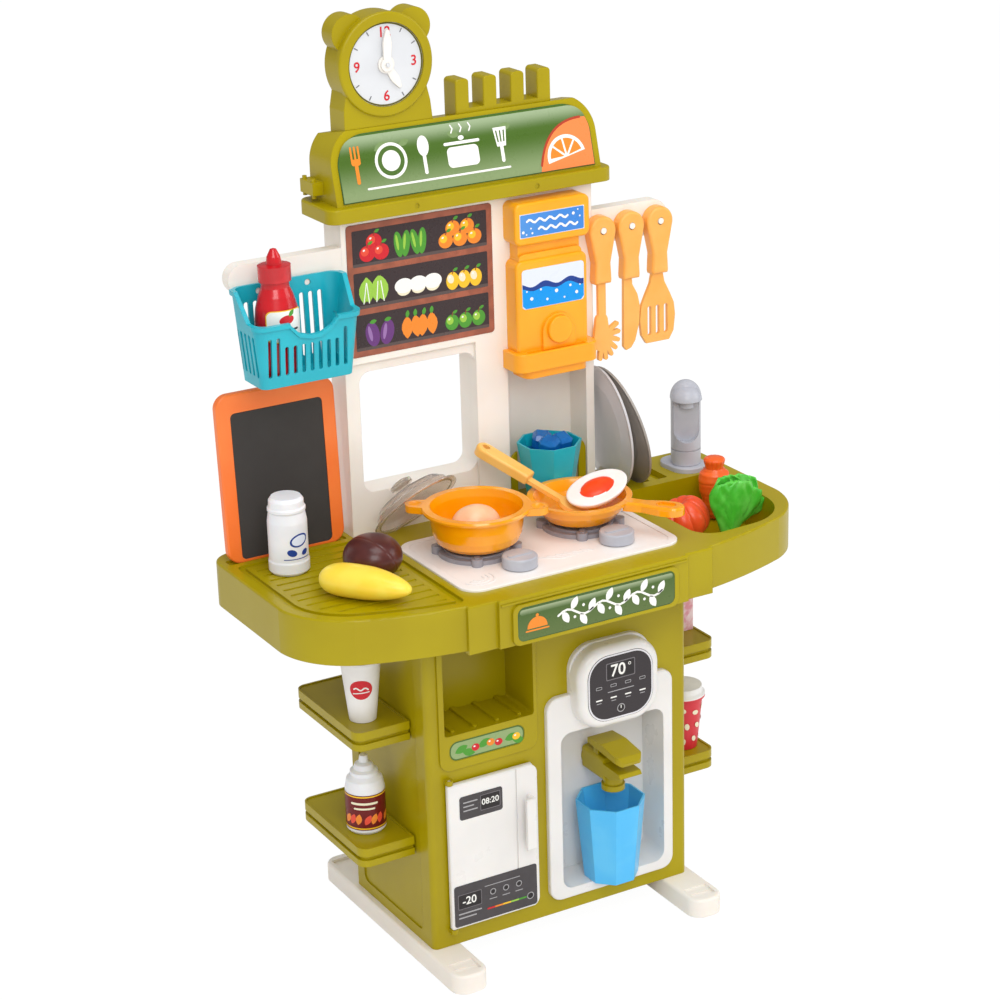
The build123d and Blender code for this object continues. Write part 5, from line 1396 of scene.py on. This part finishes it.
    def lettuce(self) -> None:
        """Builds the lettuce: overlapping ruffled leaves that fan out from a narrow foot."""
        low, high = extent("cabbage")
        foot = Vector((low.x + 17 * MM, (low.y + high.y) / 2, low.z + 1.0 * MM))
        form = bmesh.new()
        leaves = ((-8, -7.5, 66, 19, 0.0), (12, -8.5, 65, 21, 1.3), (31, -6.5, 60, 20, 2.1),
                  (48, -1.0, 57, 19, 3.0), (-2, 2.0, 68, 20, 3.7), (22, 5.0, 68, 22, 4.4),
                  (39, 8.0, 61, 20, 5.2))
        for lean, back, long, wide, phase in leaves:
            rows = []
            for i in range(25):
                s = i / 24
                bend = radians(lean * (0.35 + 0.65 * s))
                spine = Vector((sin(bend) * long * s, back * (0.55 + 0.75 * s), cos(bend) * long * s + 1.0))
                girth = 5.5 + (wide - 5.5) * min(1.0, s * 1.5) ** 1.1
                girth *= 1 - 0.55 * max(0.0, (s - 0.7) / 0.3) ** 2.4
                side = Vector((cos(bend), 0, -sin(bend)))
                row = []
                for j in range(21):
                    w = -1 + j / 10
                    ruffle = 2.0 * s ** 2 * abs(w) ** 1.4 * sin(9 * w + 5 * s + phase)
                    ruffle += 0.8 * s * sin(20 * s + 9 * w)
                    cup = (1 - (1 - w * w) ** 0.5) * (4.5 if back < 0 else -4.5)
                    vein = 0.9 * (1 - s) * hump(w, 0.16) * (-1 if back < 0 else 1)
                    point = spine + side * (girth * w) + Vector((0, ruffle + cup + vein, 0))
                    row.append(form.verts.new(foot + point * MM))
                rows.append(row)
            for below, above in zip(rows, rows[1:]):
                for j in range(20):
                    form.faces.new((below[j], below[j + 1], above[j + 1], above[j]))
        made = piece("cabbage_detailed", form, [LEAF_PVC.material()], "cabbage",
                     ["cabbage"], True)
        shell = made.modifiers.new("thickness", "SOLIDIFY")
        shell.thickness = 1.3 * MM
        shell.offset = 0.0

    def mango(self) -> None:
        """Builds the yellow fruit: blunt at the back end, drawn out to a tip at the front end."""
        low, high = extent("yellow_fruit")
        middle, half = (low + high) / 2, (high - low) / 2
        long = (half.x ** 2 + half.y ** 2) ** 0.5 * 0.9
        along = Vector((half.x, -half.y, 0)).normalized()
        aside = Vector((0, 0, 1)).cross(along)

        def peel(t: float, a: float) -> Vector:
            """Follows the fruit from its blunt end to its tip.

            Args:
                t: share of the way from the blunt end to the tip.
                a: angle round the axis, in radians.

            Returns:
                The point, in metres.
            """
            reach = -1 + 2 * t
            body = max(0.0, 1 - abs(reach) ** (4.2 if reach < 0 else 1.8)) ** 0.5
            body *= 1 + 0.06 * sin(pi * t) - 0.08 * reach
            droop = -0.10 * reach ** 2 + 0.05
            return middle + along * long * reach + aside * half.z * 1.08 * body * cos(a) + Vector(
                (0, 0, half.z * (0.93 * body * sin(a) + droop * 0.6)))

        piece("yellow_fruit_detailed", skin(peel, 60, 48), [YELLOW_PVC.material()], "yellow_fruit",
              ["yellow_fruit"], True)

    def plum(self) -> None:
        """Builds the dark bun-shaped fruit with its moulding seam."""
        low, high = extent("brown_ball")
        middle, half = (low + high) / 2, (high - low) / 2
        seam = Vector((0.80, 0.28, 0.30)).normalized()

        def rind(t: float, a: float) -> Vector:
            """Swells like a slightly flattened ball, with a fine groove along the seam.

            Args:
                t: share of the way from foot to top.
                a: angle round the axis, in radians.

            Returns:
                The point, in metres.
            """
            rise = radians(-90 + 180 * t)
            flat = cos(rise) ** 0.93
            ray = Vector((flat * cos(a), flat * sin(a), sin(rise)))
            groove = 1 - 0.016 * hump(ray.dot(seam), 0.022)
            return middle + Vector((half.x * ray.x, half.y * ray.y, half.z * ray.z)) * groove * 0.995

        piece("brown_ball_detailed", skin(rind, 90, 180), [BROWN_PVC.material()], "brown_ball",
              ["brown_ball"], True)


# ---- Studio ---------------------------------------------------------------------------------------
@dataclass
class Studio:
    """White floor, soft lamps and the camera.

    Attributes:
        eye: the camera's place, in metres.
        azimuth: how far it looks round from straight ahead, in degrees.
        elevation: how far it looks down.
        roll: how far it leans to one side.
        lens: its focal length, in millimetres.
        fill: strength of the surround's light.
        mirrored: strength of the surround in reflections.
        shine: strength of the lamps in reflections.
        floor_half: half the floor's side, in metres.
        veil: share of plain white that the camera sees over the floor.
        glow: strength of that white.
    """

    eye: tuple[float, float, float] = (-1.2138, -2.117, 1.3518)
    azimuth: float = -29.504
    elevation: float = 20.407
    roll: float = -1.659
    lens: float = 94.5
    fill: float = 0.74
    mirrored: float = 0.25
    shine: float = 0.4
    floor_half: float = 12.0
    veil: float = 0.93
    glow: float = 1.04

    def floor(self) -> None:
        """Lays a white floor that keeps the object's soft shadow."""
        mesh = bpy.data.meshes.new("studio_floor")
        form = bmesh.new()
        bmesh.ops.create_grid(form, x_segments=1, y_segments=1, size=self.floor_half)
        form.to_mesh(mesh)
        form.free()
        ground = bpy.data.objects.new("studio_floor", mesh)
        bpy.context.scene.collection.objects.link(ground)
        paper = blank("white_paper_sweep")
        tree = paper.node_tree
        path = add(tree, "LightPath")
        share = add(tree, "Math", {"operation": "MULTIPLY", 1: self.veil}, {0: path.outputs["Is Camera Ray"]})
        card = add(tree, "BsdfDiffuse", {"Color": linear("#f4f3f1")})
        white = add(tree, "Emission", {"Color": linear("#ffffff"), "Strength": self.glow})
        both = add(tree, "MixShader", {}, {0: share.outputs[0], 1: card.outputs[0], 2: white.outputs[0]})
        add(tree, "OutputMaterial", {}, {"Surface": both.outputs[0]})
        mesh.materials.append(paper)

    def lamp(self, name: str, spot: Sequence[float], size: float, watts: float) -> None:
        """Hangs one square softbox that faces the middle of the kitchen.

        Args:
            name: the lamp's name.
            spot: its place, in metres.
            size: length of its side.
            watts: its power.
        """
        light = bpy.data.lights.new(name, "AREA")
        light.size = size
        light.energy = watts
        light.specular_factor = self.shine
        box = bpy.data.objects.new(name, light)
        bpy.context.scene.collection.objects.link(box)
        box.location = spot
        box.rotation_euler = (Vector((0, 0, 0.45)) - Vector(spot)).to_track_quat("-Z", "Y").to_euler()

    def sky(self) -> None:
        """Sets a plain grey surround that shows as white behind the object."""
        world = bpy.data.worlds.new("studio_surround")
        bpy.context.scene.world = world
        world.use_nodes = True
        tree = world.node_tree
        tree.nodes.clear()
        path = add(tree, "LightPath")
        seen = add(tree, "Math", {"operation": "MAXIMUM"},
                   {0: path.outputs["Is Camera Ray"], 1: path.outputs["Is Transmission Ray"]})
        others = add(tree, "Math", {"operation": "MULTIPLY_ADD", 1: self.mirrored - self.fill, 2: self.fill},
                     {0: path.outputs["Is Glossy Ray"]})
        strength = add(tree, "Math", {"operation": "MAXIMUM"}, {0: seen.outputs[0], 1: others.outputs[0]})
        white = add(tree, "Background", {"Color": linear("#ffffff")}, {"Strength": strength.outputs[0]})
        add(tree, "OutputWorld", {}, {"Surface": white.outputs[0]})

    def camera(self) -> None:
        """Stands the camera in front, to the left and above."""
        lens = bpy.data.cameras.new("camera")
        lens.lens = self.lens
        lens.sensor_width = 36.0
        stand = bpy.data.objects.new("camera", lens)
        bpy.context.scene.collection.objects.link(stand)
        turn = (Matrix.Rotation(radians(self.azimuth), 4, "Z")
                @ Matrix.Rotation(radians(90 - self.elevation), 4, "X")
                @ Matrix.Rotation(radians(self.roll), 4, "Z"))
        stand.matrix_world = Matrix.Translation(self.eye) @ turn
        bpy.context.scene.camera = stand

    def build(self) -> None:
        """Sets up the whole studio."""
        self.floor()
        self.sky()
        self.lamp("key_softbox", (-1.0, -2.6, 2.3), 1.6, 35.0)
        self.lamp("side_softbox", (2.4, -1.2, 1.6), 1.4, 12.0)
        self.lamp("top_softbox", (0.0, -0.8, 2.6), 1.2, 14.0)
        self.camera()
        bpy.context.scene.view_settings.view_transform = "Standard"


def main() -> None:
    """Builds the sub-assemblies and the studio."""
    logging.basicConfig(level=logging.INFO)
    for assembly in (Housing(), Signs(), ProduceBoard(), Fountain(), Refrigerator(), Dispenser(), Clock(),
                     Blackboard(), Cookware(), Groceries()):
        log.info("dressing %s", type(assembly).__name__)
        assembly.dress()
    Studio().build()


if __name__ == "__main__":
    main()
